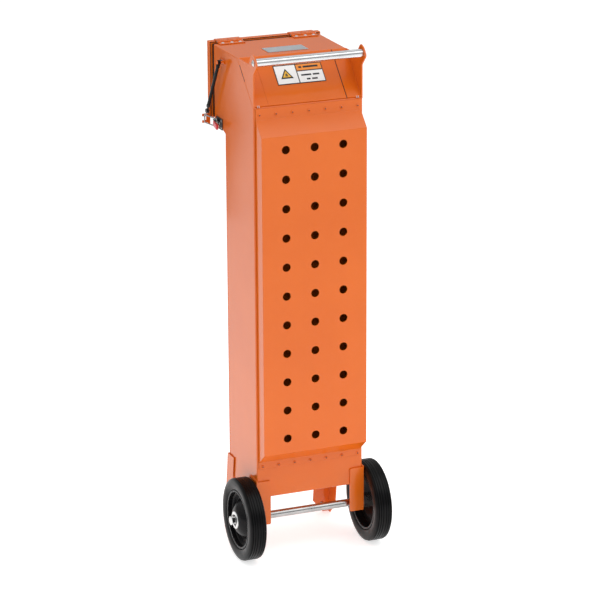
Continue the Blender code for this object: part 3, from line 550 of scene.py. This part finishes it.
def make_tank():
    floor = TANK_LOW.z
    neck_rear, neck_front = 1.030, 1.008
    mouth, rim = 0.2596, 0.003
    opening_half, opening_z = 0.112, (1.056, 1.187)
    outline = [
        (0, floor),
        (TANK_DEPTH, floor),
        (TANK_DEPTH, neck_front),
        (mouth, neck_rear),
        (mouth, HEAD_TOP_Z),
        (SLOPE_TOP_DEPTH, HEAD_TOP_Z),
        (0, SLOPE_FOOT_Z),
    ]
    inner = [
        (SHEET, floor + SHEET),
        (TANK_DEPTH - SHEET, floor + SHEET),
        (TANK_DEPTH - SHEET, neck_front + 0.0015),
        (mouth - rim, neck_rear + 0.0015),
        (mouth - rim, HEAD_TOP_Z - SHEET),
        (SLOPE_TOP_DEPTH + 0.001, HEAD_TOP_Z - SHEET),
        (SHEET, SLOPE_FOOT_Z - 0.001),
    ]
    wall = SIDE - SHEET
    piece(
        "tank_body",
        side_prism(outline, -SIDE, SIDE),
        PAINT,
        "tank",
        ["tank_shell"],
        bends=(0.0030, 4),
        cuts=[
            side_prism(inner, -wall, wall),
            box((-opening_half, opening_half), (mouth - 0.013, mouth + 0.01), opening_z),
        ],
        edge=0.0004,
    )
    for side, word in ((-1, "left"), (1, "right")):
        seam_and_gap_shade = [
            point(side * (SIDE + 0.0001), TANK_DEPTH - 0.004, floor + 0.055 + 0.001 * i)
            for i in range(0, 780, 6)
        ]
        seam_and_gap_shade = [p + Vector((0, noise.noise(p * 90) * 0.0003, 0)) for p in seam_and_gap_shade]
        wire(f"rear_seam_{word}", seam_and_gap_shade, 0.0005, PAINT, "tank")


def cheek_outline():
    """The side plate ahead of the slope, with its ear round the bar's end."""
    lift = GAP / math.cos(SLOPE_ANGLE)
    return [
        (0, SLOPE_FOOT_Z + lift),
        (SLOPE_TOP_DEPTH - lift / math.tan(SLOPE_ANGLE), HEAD_TOP_Z),
        (0.0280, HEAD_TOP_Z),
        (0.0262, 1.2128),
        (0.0240, 1.2175),
        (0.0210, 1.2235),
        (0.0160, 1.2310),
        (0.0105, 1.2365),
        (0.0070, 1.2390),
        (0.0040, 1.2392),
        (0.0010, 1.2388),
        (-0.0100, 1.2340),
        (-0.0160, 1.2285),
        (-0.0206, 1.2230),
        (-0.0220, 1.2200),
        (-0.0224, 1.2178),
        (-0.0219, 1.2152),
        (-0.0200, 1.2122),
        (-0.0144, 1.2066),
        (-0.0060, 1.1980),
        (-0.0022, 1.1940),
        (-0.0006, 1.1910),
        (0, 1.1880),
    ]


def make_head():
    flange_edge = SIDE - CHEEK_FLANGE
    for side, word in ((-1, "left"), (1, "right")):
        inner = side * (SIDE - CHEEK_SHEET)
        flange = slope_plate(
            rectangle(side * flange_edge, inner + side * 0.001, *SLOPE_SHEET_DEPTHS),
            GAP,
            GAP + CHEEK_SHEET,
        )
        piece(
            f"head_cheek_{word}",
            side_prism(cheek_outline(), inner, side * SIDE),
            PAINT,
            "tank",
            [f"cheek_{word}"],
            joins=[flange],
            edge=0.0006,
        )
        for i, x in enumerate((0.1215, 0.1255)):
            spots = [on_slope(side * x, 0.0006 + 0.0010 * j, 0.0026) for j in range(5)]
            wire(f"tack_weld_{word}_{i}", spots, 0.0010, ZINC, "tank")
        # On the right, a black wire beside the slope cover's edge is painted shade: the
        # dark gap there.
        if side > 0:
            seam_and_gap_shade = [on_slope(0.0968, 0.002 + 0.012 * j, 0.0028) for j in range(9)]
            wire("slope_gap_shade", seam_and_gap_shade, 0.0007, BLACK, "tank")
        # A short black wire on each side face is painted shade: the dark slit of the
        # slope's seam.
        rise, outside = math.tan(SLOPE_ANGLE), side * (SIDE + 0.0001)
        slit_shade = [
            point(outside, depth, SLOPE_FOOT_Z + depth * rise)
            for depth in (0.054, 0.065, 0.076, 0.086)
        ]
        wire(f"side_slit_shade_{word}", slit_shade, 0.0006, BLACK, "tank")
    low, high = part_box("slope_sheet")
    piece(
        "slope_cover",
        slope_plate(
            rectangle(low.x, high.x, *SLOPE_SHEET_DEPTHS), GAP, GAP + CHEEK_SHEET
        ),
        PAINT,
        "tank",
        ["slope_sheet"],
        edge=0.0006,
    )
    low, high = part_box("handle_bar")
    piece(
        "push_bar",
        bar_x((high.z - low.z) / 2, low.x, high.x, BAR_DEPTH, BAR_Z, 0.0004, 64),
        CHROME,
        "tank",
        ["handle_bar"],
    )
    for side, word in ((-1, "left"), (1, "right")):
        thick, hole, rim = 0.0011, 0.0045, 0.0070
        washer = turned(
            [(0, hole), (0, rim), (0.0006, rim + 0.0004), (thick, rim), (thick, hole)]
        )
        head = moved(dome_head(0.0058, 0.0030, 0.0022), Matrix.Translation((thick, 0, 0)))
        place = Matrix.Translation(point(side * (SIDE + GAP), BAR_DEPTH, BAR_Z))
        both = merged(washer, head)
        piece(
            f"bar_screw_{word}",
            moved(both, place @ mirror_x(side)),
            ZINC,
            "tank",
            [f"handle_bolt_{word}"],
        )


def make_label():
    """A generic warning film: a warning triangle, an amber band and plain dashes."""
    middle, base = 0.0575, GAP * 2 + CHEEK_SHEET
    film = base + 0.00045
    sign_x = -0.0325

    def panel(x0, x1, d0, d1):
        return slope_plate(
            rectangle(x0, x1, middle + d0, middle + d1), film, film + 0.00012
        )

    piece(
        "label_film",
        slope_plate(
            rectangle(-0.060, 0.060, middle - 0.019, middle + 0.019), base, film
        ),
        BLACK,
        "tank",
        ["caution_label"],
        edge=0.0001,
    )
    white = merged(
        panel(-0.0580, -0.0065, -0.0174, 0.0174), panel(-0.0040, 0.0580, -0.0174, 0.0040)
    )
    piece("label_white_panels", white, WHITE, "tank")
    piece("label_band", panel(-0.0040, 0.0580, 0.0060, 0.0174), AMBER, "tank")

    def triangle(size, lift, material, name):
        corners = [(0, 0.62), (-0.60, -0.42), (0.60, -0.42)]
        outline = [
            (sign_x + x * size, middle + d * size * math.cos(SLOPE_ANGLE))
            for x, d in corners
        ]
        piece(
            name,
            slope_plate(outline, film + lift, film + lift + 0.00008),
            material,
            "tank",
            edge=0,
        )

    triangle(0.0262, 0.00013, BLACK, "label_triangle_edge")
    triangle(0.0172, 0.00022, YELLOW, "label_triangle")
    mark = merged(
        *[
            slope_plate(
                [
                    (sign_x + x - 0.0008, middle - 0.0040),
                    (sign_x + x + 0.0008, middle - 0.0040),
                    (sign_x + x * 0.55 + 0.0008, middle + 0.0030 - 0.7 * abs(x)),
                    (sign_x + x * 0.55 - 0.0008, middle + 0.0030 - 0.7 * abs(x)),
                ],
                film + 0.00031,
                film + 0.00037,
            )
            for x in (-0.0028, 0, 0.0028)
        ]
    )
    rows = (
        (0.0104, 0.0034, ((0.002, 0.009), (0.013, 0.050))),
        (-0.0050, 0.0030, ((0.003, 0.028), (0.032, 0.048))),
        (-0.0132, 0.0030, ((0.014, 0.023), (0.027, 0.041))),
    )
    dashes = [
        slope_plate(
            rectangle(x0, x1, middle + d, middle + d + tall), film + 0.00013, film + 0.0002
        )
        for d, tall, spans in rows
        for x0, x1 in spans
    ]
    piece("label_mark", merged(mark, *dashes), BLACK, "tank")


def make_nameplate():
    low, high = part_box("nameplate")
    x0, x1, y0, y1, z0 = low.x, high.x, low.y - FRONT_Y, high.y - FRONT_Y, low.z
    inset, line = 0.0030, 0.0005
    groove = [
        box(x_range, y_range, (z0 + 0.0007, z0 + 0.002))
        for x_range, y_range in (
            ((x0 + inset, x1 - inset), (y0 + inset, y0 + inset + line)),
            ((x0 + inset, x1 - inset), (y1 - inset - line, y1 - inset)),
            ((x0 + inset, x0 + inset + line), (y0 + inset + 0.001, y1 - inset - 0.001)),
            ((x1 - inset - line, x1 - inset), (y0 + inset + 0.001, y1 - inset - 0.001)),
        )
    ]
    for row in range(4):
        depth = y0 + 0.011 + row * 0.0075
        row_x = (x0 + 0.012, x1 - 0.040 + 0.006 * row)
        groove.append(box(row_x, (depth, depth + 0.0008), (z0 + 0.0008, z0 + 0.002)))
    piece(
        "data_plate",
        box((x0, x1), (y0, y1), (z0, z0 + 0.0009)),
        PLATE,
        "tank",
        ["nameplate"],
        cuts=[merged(*groove)],
        edge=0.00015,
    )
    pins = []
    for x in (x0 + 0.0055, x1 - 0.0055):
        for depth in (y0 + 0.0055, y1 - 0.0055):
            stand = aimed((0, 0, 1), point(x, depth, z0 + 0.0009))
            pins.append(moved(dome_head(0.0016, 0.0009), stand))
    piece("data_plate_pins", merged(*pins), ZINC, "tank")


# ---------------------------------------------------------------- guard


def make_guard():
    low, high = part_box("heat_guard")
    half, standoff = high.x, FRONT_Y - low.y
    back, face = -GAP, -(GAP + SHEET)
    top_bend, face_top, face_low, low_bend = 1.0855, 1.051, 0.274, 0.245
    outline = [
        (back, high.z),
        (face, high.z),
        (face, top_bend),
        (-standoff, face_top),
        (-standoff, face_low),
        (face, low_bend),
        (face, low.z),
        (back, low.z),
    ]
    thin = 0.0018
    rise = (top_bend - face_top) / (standoff + face)
    fall = (low_bend - face_low) / (standoff + face)
    run = standoff + 0.01
    tray = [
        (-standoff + thin, face_low + 0.0013),
        (-standoff + thin + run, face_low + 0.0013 + fall * run),
        (-standoff + thin + run, face_top - 0.0013 + rise * run),
        (-standoff + thin, face_top - 0.0013),
    ]
    vents = []
    column_pitch, row_pitch, first_row_z = 0.0715, 0.0707, 0.311
    vent = [(-0.001, 0), (-0.001, 0.0106), (0.0004, 0.0100), (0.012, 0.0100), (0.012, 0)]
    for column in range(3):
        for row in range(11):
            x, z = column_pitch * (column - 1), first_row_z + row_pitch * row
            stand = aimed((0, 1, 0), point(x, -standoff, z))
            vents.append(moved(turned(vent, 40, ring=False), stand))
    guard = piece(
        "guard_cover",
        side_prism(outline, -half, half),
        PAINT,
        "tank",
        ["heat_guard"],
        bends=(0.0016, 4, 20),
        cuts=[side_prism(tray, thin - half, half - thin), merged(*vents)],
    )
    # The faces behind the guard's front take the near-black paint: painted shade seen
    # through the vents.
    guard.data.materials.append(PAINTED_SHADE)
    for polygon in guard.data.polygons:
        centre = polygon.center
        behind_face = centre.y > low.y + 0.0012 and polygon.normal.y > 0.5
        if behind_face and low_bend < centre.z < top_bend:
            polygon.material_index = 1
    rivets, hole_shades = [], []
    rivet_pitch, rivet_rows_z = 0.04077, (1.0970, 0.2340)
    for z in rivet_rows_z:
        for i in range(7):
            place = aimed((0, -1, 0), point((i - 3) * rivet_pitch, face, z))
            rivets.append(moved(dome_head(0.0041, 0.0026, 0.0017), place))
            # Dark discs in the rivet heads' recesses are painted shade in the rivet holes.
            hole_shades.append(moved(rod(0.00165, 0.0009, 0.0018, 0, 16), place))
    piece("guard_rivets", merged(*rivets), PAINT, "tank")
    piece("guard_rivet_hole_shade", merged(*hole_shades), DARK, "tank")


# ---------------------------------------------------------------- lid, hinges, strut


def make_lid():
    wall = 0.0016
    low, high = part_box("lid_pan")
    half, front, rear = high.x, low.y - FRONT_Y, high.y - FRONT_Y
    piece(
        "lid_cover",
        box((-half, half), (front, rear), (low.z, high.z)),
        PAINT,
        "lid",
        ["lid_pan"],
        bends=(0.0022, 4),
        cuts=[
            box(
                (-half + wall, half - wall),
                (front - 0.01, rear - wall),
                (low.z + wall, high.z - wall),
            )
        ],
        edge=0.0003,
    )
    inner_half = half - 0.0017
    low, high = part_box("lid_liner")
    front, rear = low.y - FRONT_Y, high.y - FRONT_Y
    plate = piece(
        "lid_inner_plate",
        box((-inner_half, inner_half), (front, rear), (low.z, high.z)),
        PAINT,
        "lid",
        ["lid_liner"],
        edge=0.0008,
    )
    # The inner plate's edges take the near-black paint: painted shade in the gap round the
    # lid.
    plate.data.materials.append(PAINTED_SHADE)
    for polygon in plate.data.polygons:
        if abs(polygon.normal.y) < 0.5:
            polygon.material_index = 1
    low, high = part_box("lid_gasket")
    front, rear = low.y - FRONT_Y, high.y - FRONT_Y
    band = 0.0175
    piece(
        "gasket_ring",
        box((low.x, high.x), (front, rear), (low.z, high.z)),
        GASKET,
        "lid",
        ["lid_gasket"],
        cuts=[
            box(
                (low.x + band, high.x - band),
                (front - 0.01, rear + 0.01),
                (low.z + band, high.z - band),
            )
        ],
        edge=0.0022,
    )


def make_hinges():
    depth, radius, leaf, half = HINGE_DEPTH, 0.003, 0.0018, 0.0315
    clear = radius + 0.0005
    leaf_front, leaf_rear = 0.242, 0.2868
    for word in ("left", "right"):
        low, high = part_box(f"hinge_{word}_fixed_leaf")
        middle = (low.x + high.x) / 2
        pitch = 2 * half / 5
        spans = [
            (middle - half + i * pitch + 0.00025, middle - half + (i + 1) * pitch - 0.00025)
            for i in range(5)
        ]
        leaves = (
            (
                "fixed",
                spans[0::2],
                (leaf_front, depth - clear),
                (depth - clear - 0.002, depth),
                HEAD_TOP_Z + GAP,
                "tank",
            ),
            (
                "lid",
                spans[1::2],
                (depth + clear, leaf_rear),
                (depth + 0.001, depth + clear + 0.002),
                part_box("lid_pan")[1].z + GAP,
                "lid",
            ),
        )
        for kind, own, plate, tongue, z_low, body in leaves:
            heights = (z_low, z_low + leaf)
            joins = []
            for a, b in own:
                joins.append(box((a, b), tongue, heights))
                joins.append(bar_x(radius, a, b, depth, HINGE_Z, 0, 32))
            ends = (middle - half - 0.01, middle + half + 0.01)
            piece(
                f"{kind}_leaf_{word}",
                box((middle - half, middle + half), plate, heights),
                PAINT,
                body,
                [f"hinge_{word}_{kind}_leaf"],
                joins=joins,
                cuts=[bar_x(0.0019, *ends, depth, HINGE_Z, 0, 24)],
                edge=0.0003,
            )
            screws = []
            across = sum(plate) / 2
            size, material = (0.0042, ZINC) if kind == "fixed" else (0.0020, PAINT)
            for x in (-0.022, 0.001, 0.022):
                stand = aimed((0, 0, 1), point(middle + x, across, heights[1]))
                screws.append(moved(dome_head(size, size * 0.4, size * 0.33), stand))
            piece(f"{kind}_leaf_screws_{word}", merged(*screws), material, body)


def make_strut():
    top, foot = point(-0.150, 0.187, STRUT_Z), point(-0.150, 0.272, 1.047)
    along = aimed(foot - top, top)
    length = (foot - top).length
    mouth, tube = length - 0.015, 0.00405
    collar = [
        (mouth - 0.006, tube),
        (mouth - 0.006, 0.0046),
        (mouth - 0.001, 0.0048),
        (mouth + 0.001, 0.0040),
        (mouth + 0.001, 0.0027),
        (mouth + 0.0002, 0.0027),
        (mouth + 0.0002, tube),
    ]
    piece("strut_collar", moved(turned(collar, 32), along), DARK, "strut_tube")
    boot = [(0.0055, tube), (0.0060, 0.0047), (0.0150, 0.0047), (0.0160, tube)]
    piece("strut_boot", moved(turned(boot, 32), along), RUBBER, "strut_tube")
    screws = []
    for depth in (0.1975, 0.2065):
        place = point(-(SIDE + GAP + 0.0025), depth, STRUT_Z)
        screws.append(moved(dome_head(0.0030, 0.0016, 0.0011), aimed((-1, 0, 0), place)))
    piece("strut_bracket_screws", merged(*screws), DARK, "tank")


# ---------------------------------------------------------------- latches


def make_latches():
    z = LATCH_Z
    for side, word in ((-1, "left"), (1, "right")):
        face = SIDE + GAP + 0.002
        screws = []
        for depth, up in ((0.2075, 0.0085), (0.2075, -0.0085), (0.2200, 0.0)):
            place = point(side * face, depth, z + up)
            stand = aimed((side, 0, 0), place)
            screws.append(moved(dome_head(0.0026, 0.0013, 0.0010), stand))
        piece(f"latch_screws_{word}", merged(*screws), ZINC, "tank")
        grip = [
            (0.0127, 0.2283),
            (0.0156, 0.2285),
            (0.0180, 0.2160),
            (0.0226, 0.1905),
            (0.0222, 0.1875),
            (0.0203, 0.1863),
            (0.0178, 0.1872),
            (0.0152, 0.2080),
        ]
        outline = [(side * (SIDE + d), depth) for d, depth in grip]
        piece(
            f"latch_handle_{word}",
            plan_prism(outline, z - 0.0062, z + 0.0062),
            GRIP,
            f"latch_{word}_lever",
            [f"latch_{word}_grip"],
            edge=0.0020,
        )


# ---------------------------------------------------------------- undercarriage


def make_brackets():
    sheet, tongue_reach = 0.0025, 0.033
    for side, word in ((-1, "left"), (1, "right")):
        low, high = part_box(f"wheel_bracket_{word}")
        face, outer = SIDE + GAP, SIDE + GAP + sheet
        front, rear, corner = -0.0043, 0.046, 0.014
        z0, z1 = low.z, high.z
        plate = [
            (front, z1),
            *arc((front + corner, z0 + corner), corner, 180, 270, 10),
            *arc((rear - corner, z0 + corner), corner, 270, 360, 10),
            (rear, z1),
        ]
        inner_x = SIDE - tongue_reach
        tongue = [
            (side * (outer - 0.0003), z1 - 0.003),
            (side * (inner_x + 0.002), z1 - 0.003),
            (side * inner_x, z1 - 0.005),
            (side * inner_x, z0 + 0.007),
            (side * (inner_x + 0.002), z0 + 0.005),
            (side * (outer - 0.0003), z0 + 0.005),
        ]
        bore = bar_x(AXLE_RADIUS + GAP, -0.2, 0.2, AXLE_DEPTH, AXLE_Z, 0, 48)
        piece(
            f"axle_bracket_{word}",
            side_prism(plate, side * face, side * outer),
            PAINT,
            "tank",
            [f"wheel_bracket_{word}"],
            joins=[front_prism(tongue, front + 0.0002, -GAP)],
            cuts=[bore],
            edge=0.0007,
        )


def make_feet():
    sheet, top, lean, web_width, chamfer = 0.003, 0.205, 0.145, 0.045, 0.034
    for side, word in ((-1, "left"), (1, "right")):
        face, outer = SIDE + GAP, SIDE + GAP + sheet
        web_front = TANK_DEPTH + 0.0005
        inner = outer - web_width
        flange_outline = [
            (0.150, top),
            (web_front + sheet, top),
            (web_front + sheet, 0),
            (0.150 + chamfer * 0.8, 0),
            (0.150, chamfer),
        ]
        flange = side_prism(flange_outline, side * face, side * outer)
        web = front_prism(
            [
                (side * (face + 0.001), top),
                (side * inner, top),
                (side * inner, chamfer),
                (side * (inner + chamfer * 0.8), 0),
                (side * (face + 0.001), 0),
            ],
            web_front,
            web_front + sheet,
        )
        for bm in (flange, web):
            for vert in bm.verts:
                vert.co.y += (top - vert.co.z) * lean
        piece(
            f"foot_angle_{word}",
            flange,
            PAINT,
            "tank",
            [f"rear_foot_{word}"],
            joins=[web],
            edge=0.0008,
        )
        screws = []
        z = 0.024
        normal = Vector((0, -1, -lean)).normalized()
        place = point(side * 0.1178, web_front + (top - z) * lean, z) + normal * 0.0002
        screws.append(moved(dome_head(0.0046, 0.0024, 0.0016), aimed(normal, place)))
        piece(f"foot_screws_{word}", merged(*screws), ZINC, "tank")


def tyre_section():
    """Half the tyre's section: ribbed tread, rounded shoulder, wall and bead."""
    tread = []
    for i in range(3):
        start = 0.0028 + i * 0.0058
        tread += [
            (start, 0.1),
            (start + 0.0004, 0.0978),
            (start + 0.0014, 0.0978),
            (start + 0.0018, 0.1 - 0.0002 * (i + 1)),
        ]
    wall = [
        (0.0185, 0.0985),
        (0.0200, 0.0962),
        (0.0210, 0.0925),
        (0.0215, 0.0880),
        (0.0213, 0.0850),
        (0.0209, 0.0815),
        (0.0203, 0.0785),
        (0.0194, 0.0755),
        (0.0184, 0.0736),
        (0.0172, 0.0724),
        (0.0158, 0.0720),
        (0.0150, 0.0710),
        (0.0150, 0.0700),
    ]
    return [(0, 0.1), *tread[: -1 if tread[-1][0] > 0.0185 else None], *wall]


def make_wheels():
    for side, word in ((-1, "left"), (1, "right")):
        low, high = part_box(f"wheel_{word}_tyre")
        middle = (low + high) / 2
        place = Matrix.Translation(middle) @ mirror_x(side)
        body = f"wheel_{word}"
        right = tyre_section()
        section = right + [(-x, radius) for x, radius in reversed(right[1:])]
        piece(
            f"tyre_{word}",
            moved(turned(section, 128), place),
            RUBBER,
            body,
            [f"wheel_{word}_tyre"],
        )
        rim = [
            (0.0155, 0.0697),
            (0.0160, 0.0712),
            (0.0174, 0.0714),
            (0.0184, 0.0708),
            (0.0186, 0.0697),
            (0.0180, 0.0668),
            (0.0165, 0.0662),
            (0.0075, 0.0662),
            (0.0052, 0.0640),
            (0.0040, 0.0595),
            (0.0033, 0.0530),
            (0.0034, 0.0492),
            (0.0052, 0.0468),
            (0.0096, 0.0432),
            (0.0145, 0.0388),
            (0.0188, 0.0335),
            (0.0220, 0.0280),
            (0.0236, 0.0238),
            (0.0240, 0.0215),
            (0.0218, 0.0215),
            (0.0206, 0.0262),
            (0.0165, 0.0330),
            (0.0100, 0.0395),
            (0.0040, 0.0445),
            (0.0014, 0.0480),
            (0.0012, 0.0600),
            (0.0020, 0.0662),
            (-0.0180, 0.0668),
            (-0.0186, 0.0697),
            (-0.0184, 0.0708),
            (-0.0174, 0.0714),
            (-0.0160, 0.0712),
            (-0.0155, 0.0697),
        ]
        steel = piece(
            f"rim_{word}",
            moved(turned(rim, 96), place),
            ENAMEL,
            body,
            [f"wheel_{word}_rim"],
        )
        # The lip of the rim takes dark steel, lighter than the enamel: a painted highlight.
        steel.data.materials.append(DARK)
        for polygon in steel.data.polygons:
            off = polygon.center - middle
            if abs(off.x) > 0.0176 and math.hypot(off.y, off.z) > 0.0668:
                polygon.material_index = 1
        core = [
            (-0.0205, 0.0100),
            (-0.0205, 0.0172),
            (-0.0197, 0.0180),
            (0.0150, 0.0180),
            (0.0209, 0.0200),
            (0.0230, 0.0210),
            (0.0244, 0.0212),
            (0.0254, 0.0206),
            (0.0260, 0.0190),
            (0.0262, 0.0170),
            (0.0260, 0.0138),
            (0.0258, 0.0100),
        ]
        notches = []
        off_axis = Matrix.Translation((0, 0, 0.0132))
        for i in range(5):
            turn = Matrix.Rotation(math.radians(72 * i + 16), 4, "X")
            hole = moved(rod(0.0029, 0.0238, 0.030, 0, 24), off_axis)
            notches.append(moved(moved(hole, turn), place))
        hub = piece(
            f"hub_{word}",
            moved(turned(core, 72), place),
            ZINC,
            body,
            [f"wheel_{word}_hub"],
            cuts=[merged(*notches)],
            edge=0.0002,
        )
        # The hub's face near the axle and the insides of its notches take dark steel:
        # painted shade.
        hub.data.materials.append(DARK)
        for polygon in hub.data.polygons:
            off = polygon.center - middle
            radius = math.hypot(off.y, off.z)
            in_notch = side * off.x < 0.0252 and 0.0101 < radius < 0.0163
            if side * off.x > 0.0235 and (in_notch or radius < 0.0132):
                polygon.material_index = 1


def make_axle():
    shoulder, neck_radius, cap_radius = 0.1884, 0.0060, 0.0110
    piece(
        "axle_rod",
        bar_x(AXLE_RADIUS, -shoulder, shoulder, AXLE_DEPTH, AXLE_Z, 0.0006, 56),
        STEEL,
        "tank",
        ["axle"],
    )
    for side, word in ((-1, "left"), (1, "right")):
        low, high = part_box(f"axle_cap_{word}")
        end = max(abs(low.x), abs(high.x))
        place = Matrix.Translation(point(0, AXLE_DEPTH, AXLE_Z)) @ mirror_x(side)
        # Each neck is dark steel: painted shade in the gap between hub and cap.
        neck = rod(neck_radius, shoulder + GAP, end - 0.0024, 0, 40)
        piece(f"axle_neck_{word}", moved(neck, place), DARK, "tank")
        cap = [
            (end - 0.0022, 0),
            (end - 0.0022, cap_radius - 0.0003),
            (end - 0.0019, cap_radius),
            (end - 0.0012, cap_radius - 0.0002),
            (end - 0.0006, cap_radius - 0.0012),
            (end - 0.0002, cap_radius - 0.0034),
            (end, cap_radius - 0.0070),
            (end, 0),
        ]
        piece(
            f"push_cap_{word}",
            moved(turned(cap, 48, ring=False), place),
            ZINC,
            "tank",
            [f"axle_cap_{word}"],
        )


# ---------------------------------------------------------------- kept CAD nodes


def finish_cad_nodes():
    """The small CAD pieces that stay get the same materials as the new ones."""
    looks = {
        "orange_paint": PAINT,
        "chrome": CHROME,
        "zinc_plate": ZINC,
        "bail_steel": STEEL,
        "dark_steel": DARK,
        "aluminium_plate": PLATE,
        "label_film": WHITE,
        "black_rubber": RUBBER,
        "red_vinyl": GRIP,
        "gasket_rubber": GASKET,
        "black_enamel": ENAMEL,
    }
    slots = {s["node"]: s["material_slot"] for s in frame["record"]["subparts"]}
    slots.update({f"latch_{side}_bail": "bail_steel" for side in ("left", "right")})
    for name, obj in frame["nodes"].items():
        if not obj.hide_render:
            for material_slot in obj.material_slots:
                material_slot.material = looks[slots[name]]


# ---------------------------------------------------------------- studio


def area_light(name, place, target, size, power):
    data = bpy.data.lights.new(name, "AREA")
    data.shape, data.size, data.size_y = "RECTANGLE", *size
    data.energy = power
    light = bpy.data.objects.new(name, data)
    light.visible_camera = False
    light.location = place
    light.rotation_mode = "QUATERNION"
    light.rotation_quaternion = (Vector(target) - Vector(place)).to_track_quat("-Z", "Y")
    bpy.context.scene.collection.objects.link(light)


def make_floor():
    bm = bmesh.new()
    bmesh.ops.create_grid(bm, x_segments=8, y_segments=8, size=12)
    mesh = bpy.data.meshes.new("floor")
    bm.to_mesh(mesh)
    bm.free()
    look = Look("studio_floor")
    tone = look.mix(look.noise(1.2, 3.0), (0.74, 0.74, 0.74), (0.78, 0.78, 0.78))
    reach = look.add("ShaderNodeVectorMath", {"operation": "LENGTH"})
    look.feed(reach.inputs[0], look.add("ShaderNodeNewGeometry").outputs["Position"])
    near, far = 0.8, 3.0
    # The glow fades from near the tank outwards: a painted pool of light on the floor.
    glow = look.remap(reach.outputs["Value"], near, far, 0.66, 0.36)
    look.feed(look.shader.inputs["Emission Strength"], glow)
    look.shader.inputs["Emission Color"].default_value = (1, 1, 1, 1)
    mesh.materials.append(look.finish(tone, 0.7))
    floor = bpy.data.objects.new("floor", mesh)
    floor.location.z = cad_box[0].z - 0.0002
    bpy.context.scene.collection.objects.link(floor)


def mirror_card(name, corners, level):
    """A board that only mirror reflections see: dark at level 0, brighter above it."""
    bm = bmesh.new()
    bm.faces.new([bm.verts.new(corner) for corner in corners])
    mesh = bpy.data.meshes.new(name)
    bm.to_mesh(mesh)
    bm.free()
    look = Look(name)
    look.shader.inputs["Emission Color"].default_value = (1, 1, 1, 1)
    mesh.materials.append(look.finish((0.01, 0.01, 0.01), 0.9, Emission_Strength=level))
    card = bpy.data.objects.new(name, mesh)
    card.visible_camera = card.visible_diffuse = card.visible_shadow = False
    bpy.context.scene.collection.objects.link(card)


def make_cards():
    """A dark board beyond the left side, and a light and a grey strip overhead.

    The board's outline was fitted so that its reflection, from the main camera, falls
    where the photograph's side is dark.
    """
    side = [
        (-0.427, 1.12),
        (-0.424, 1.01),
        (-0.422, 0.93),
        (-0.430, 0.883),
        (-0.442, 0.847),
        (-0.434, 0.790),
        (-0.426, 0.755),
        (-0.416, 0.720),
        (-0.408, 0.672),
        (-0.398, 0.590),
        (-0.310, 0.560),
        (-0.310, 1.12),
    ]
    side_depth, strip_z = 0.9, 1.6
    mirror_card("side_flag", [point(x, side_depth, z) for x, z in side], 0.0)
    strips = (("light_strip", -0.50, -0.150, 1.9), ("grey_strip", -0.150, 0.06, 0.45))
    for name, near, far, level in strips:
        corners = rectangle(-0.3, 0.6, near, far)
        mirror_card(name, [point(x, depth, strip_z) for x, depth in corners], level)


def make_world():
    """A pale studio, brighter overhead than at the walls. The camera sees it as white."""
    world = bpy.data.worlds.new("studio")
    world.use_nodes = True
    tree = world.node_tree
    place = tree.nodes.new("ShaderNodeTexCoord")
    split = tree.nodes.new("ShaderNodeSeparateXYZ")
    ramp = tree.nodes.new("ShaderNodeValToRGB")
    for element, (position, level) in zip(
        (ramp.color_ramp.elements[0], ramp.color_ramp.elements[1]),
        ((0.20, 0.36), (0.62, 0.92)),
    ):
        element.position, element.color = position, (level, level, level, 1)
    tree.links.new(place.outputs["Generated"], split.inputs["Vector"])
    tree.links.new(split.outputs["Z"], ramp.inputs["Fac"])
    background = tree.nodes["Background"]
    mix = tree.nodes.new("ShaderNodeMix")
    mix.data_type = "RGBA"
    seen = tree.nodes.new("ShaderNodeLightPath").outputs["Is Camera Ray"]
    tree.links.new(seen, mix.inputs["Factor"])
    tree.links.new(ramp.outputs["Color"], mix.inputs["A"])
    mix.inputs["B"].default_value = (1, 1, 1, 1)
    tree.links.new(mix.outputs["Result"], background.inputs["Color"])
    background.inputs["Strength"].default_value = 1.0
    bpy.context.scene.world = world


def make_studio():
    make_floor()
    make_world()
    bpy.context.scene.view_settings.view_transform = "Standard"
    data = bpy.data.lights.new("overhead_key", "SUN")
    data.energy, data.angle = 0.62, math.radians(50)
    key = bpy.data.objects.new("overhead_key", data)
    key.rotation_mode = "QUATERNION"
    key.rotation_quaternion = Vector((-0.25, 0.42, -0.87)).to_track_quat("-Z", "Y")
    bpy.context.scene.collection.objects.link(key)
    area_light("right_softbox", (1.9, -0.8, 1.1), (0, 0, 0.7), (0.8, 1.6), 6.5)
    make_cards()


def make_camera():
    """A long lens, a little above the bar, from the front and the left."""
    data = bpy.data.cameras.new("camera")
    data.sensor_width = 36
    data.lens = 175
    data.clip_end = 60
    camera = bpy.data.objects.new("camera", data)
    yaw, pitch, roll = math.radians(21.804), math.radians(17.881), math.radians(0.30)
    forward = Vector(
        (
            math.sin(yaw) * math.cos(pitch),
            math.cos(yaw) * math.cos(pitch),
            -math.sin(pitch),
        )
    )
    camera.rotation_mode = "QUATERNION"
    camera.location = point(-2.4507, -6.0675, 2.7474)
    level = forward.to_track_quat("-Z", "Y").to_matrix()
    camera.rotation_quaternion = (level @ Matrix.Rotation(-roll, 3, "Z")).to_quaternion()
    bpy.context.scene.collection.objects.link(camera)
    bpy.context.scene.camera = camera


make_tank()
make_head()
make_label()
make_nameplate()
make_guard()
make_lid()
make_hinges()
make_strut()
make_latches()
make_brackets()
make_feet()
make_wheels()
make_axle()
finish_cad_nodes()
make_studio()
make_camera()
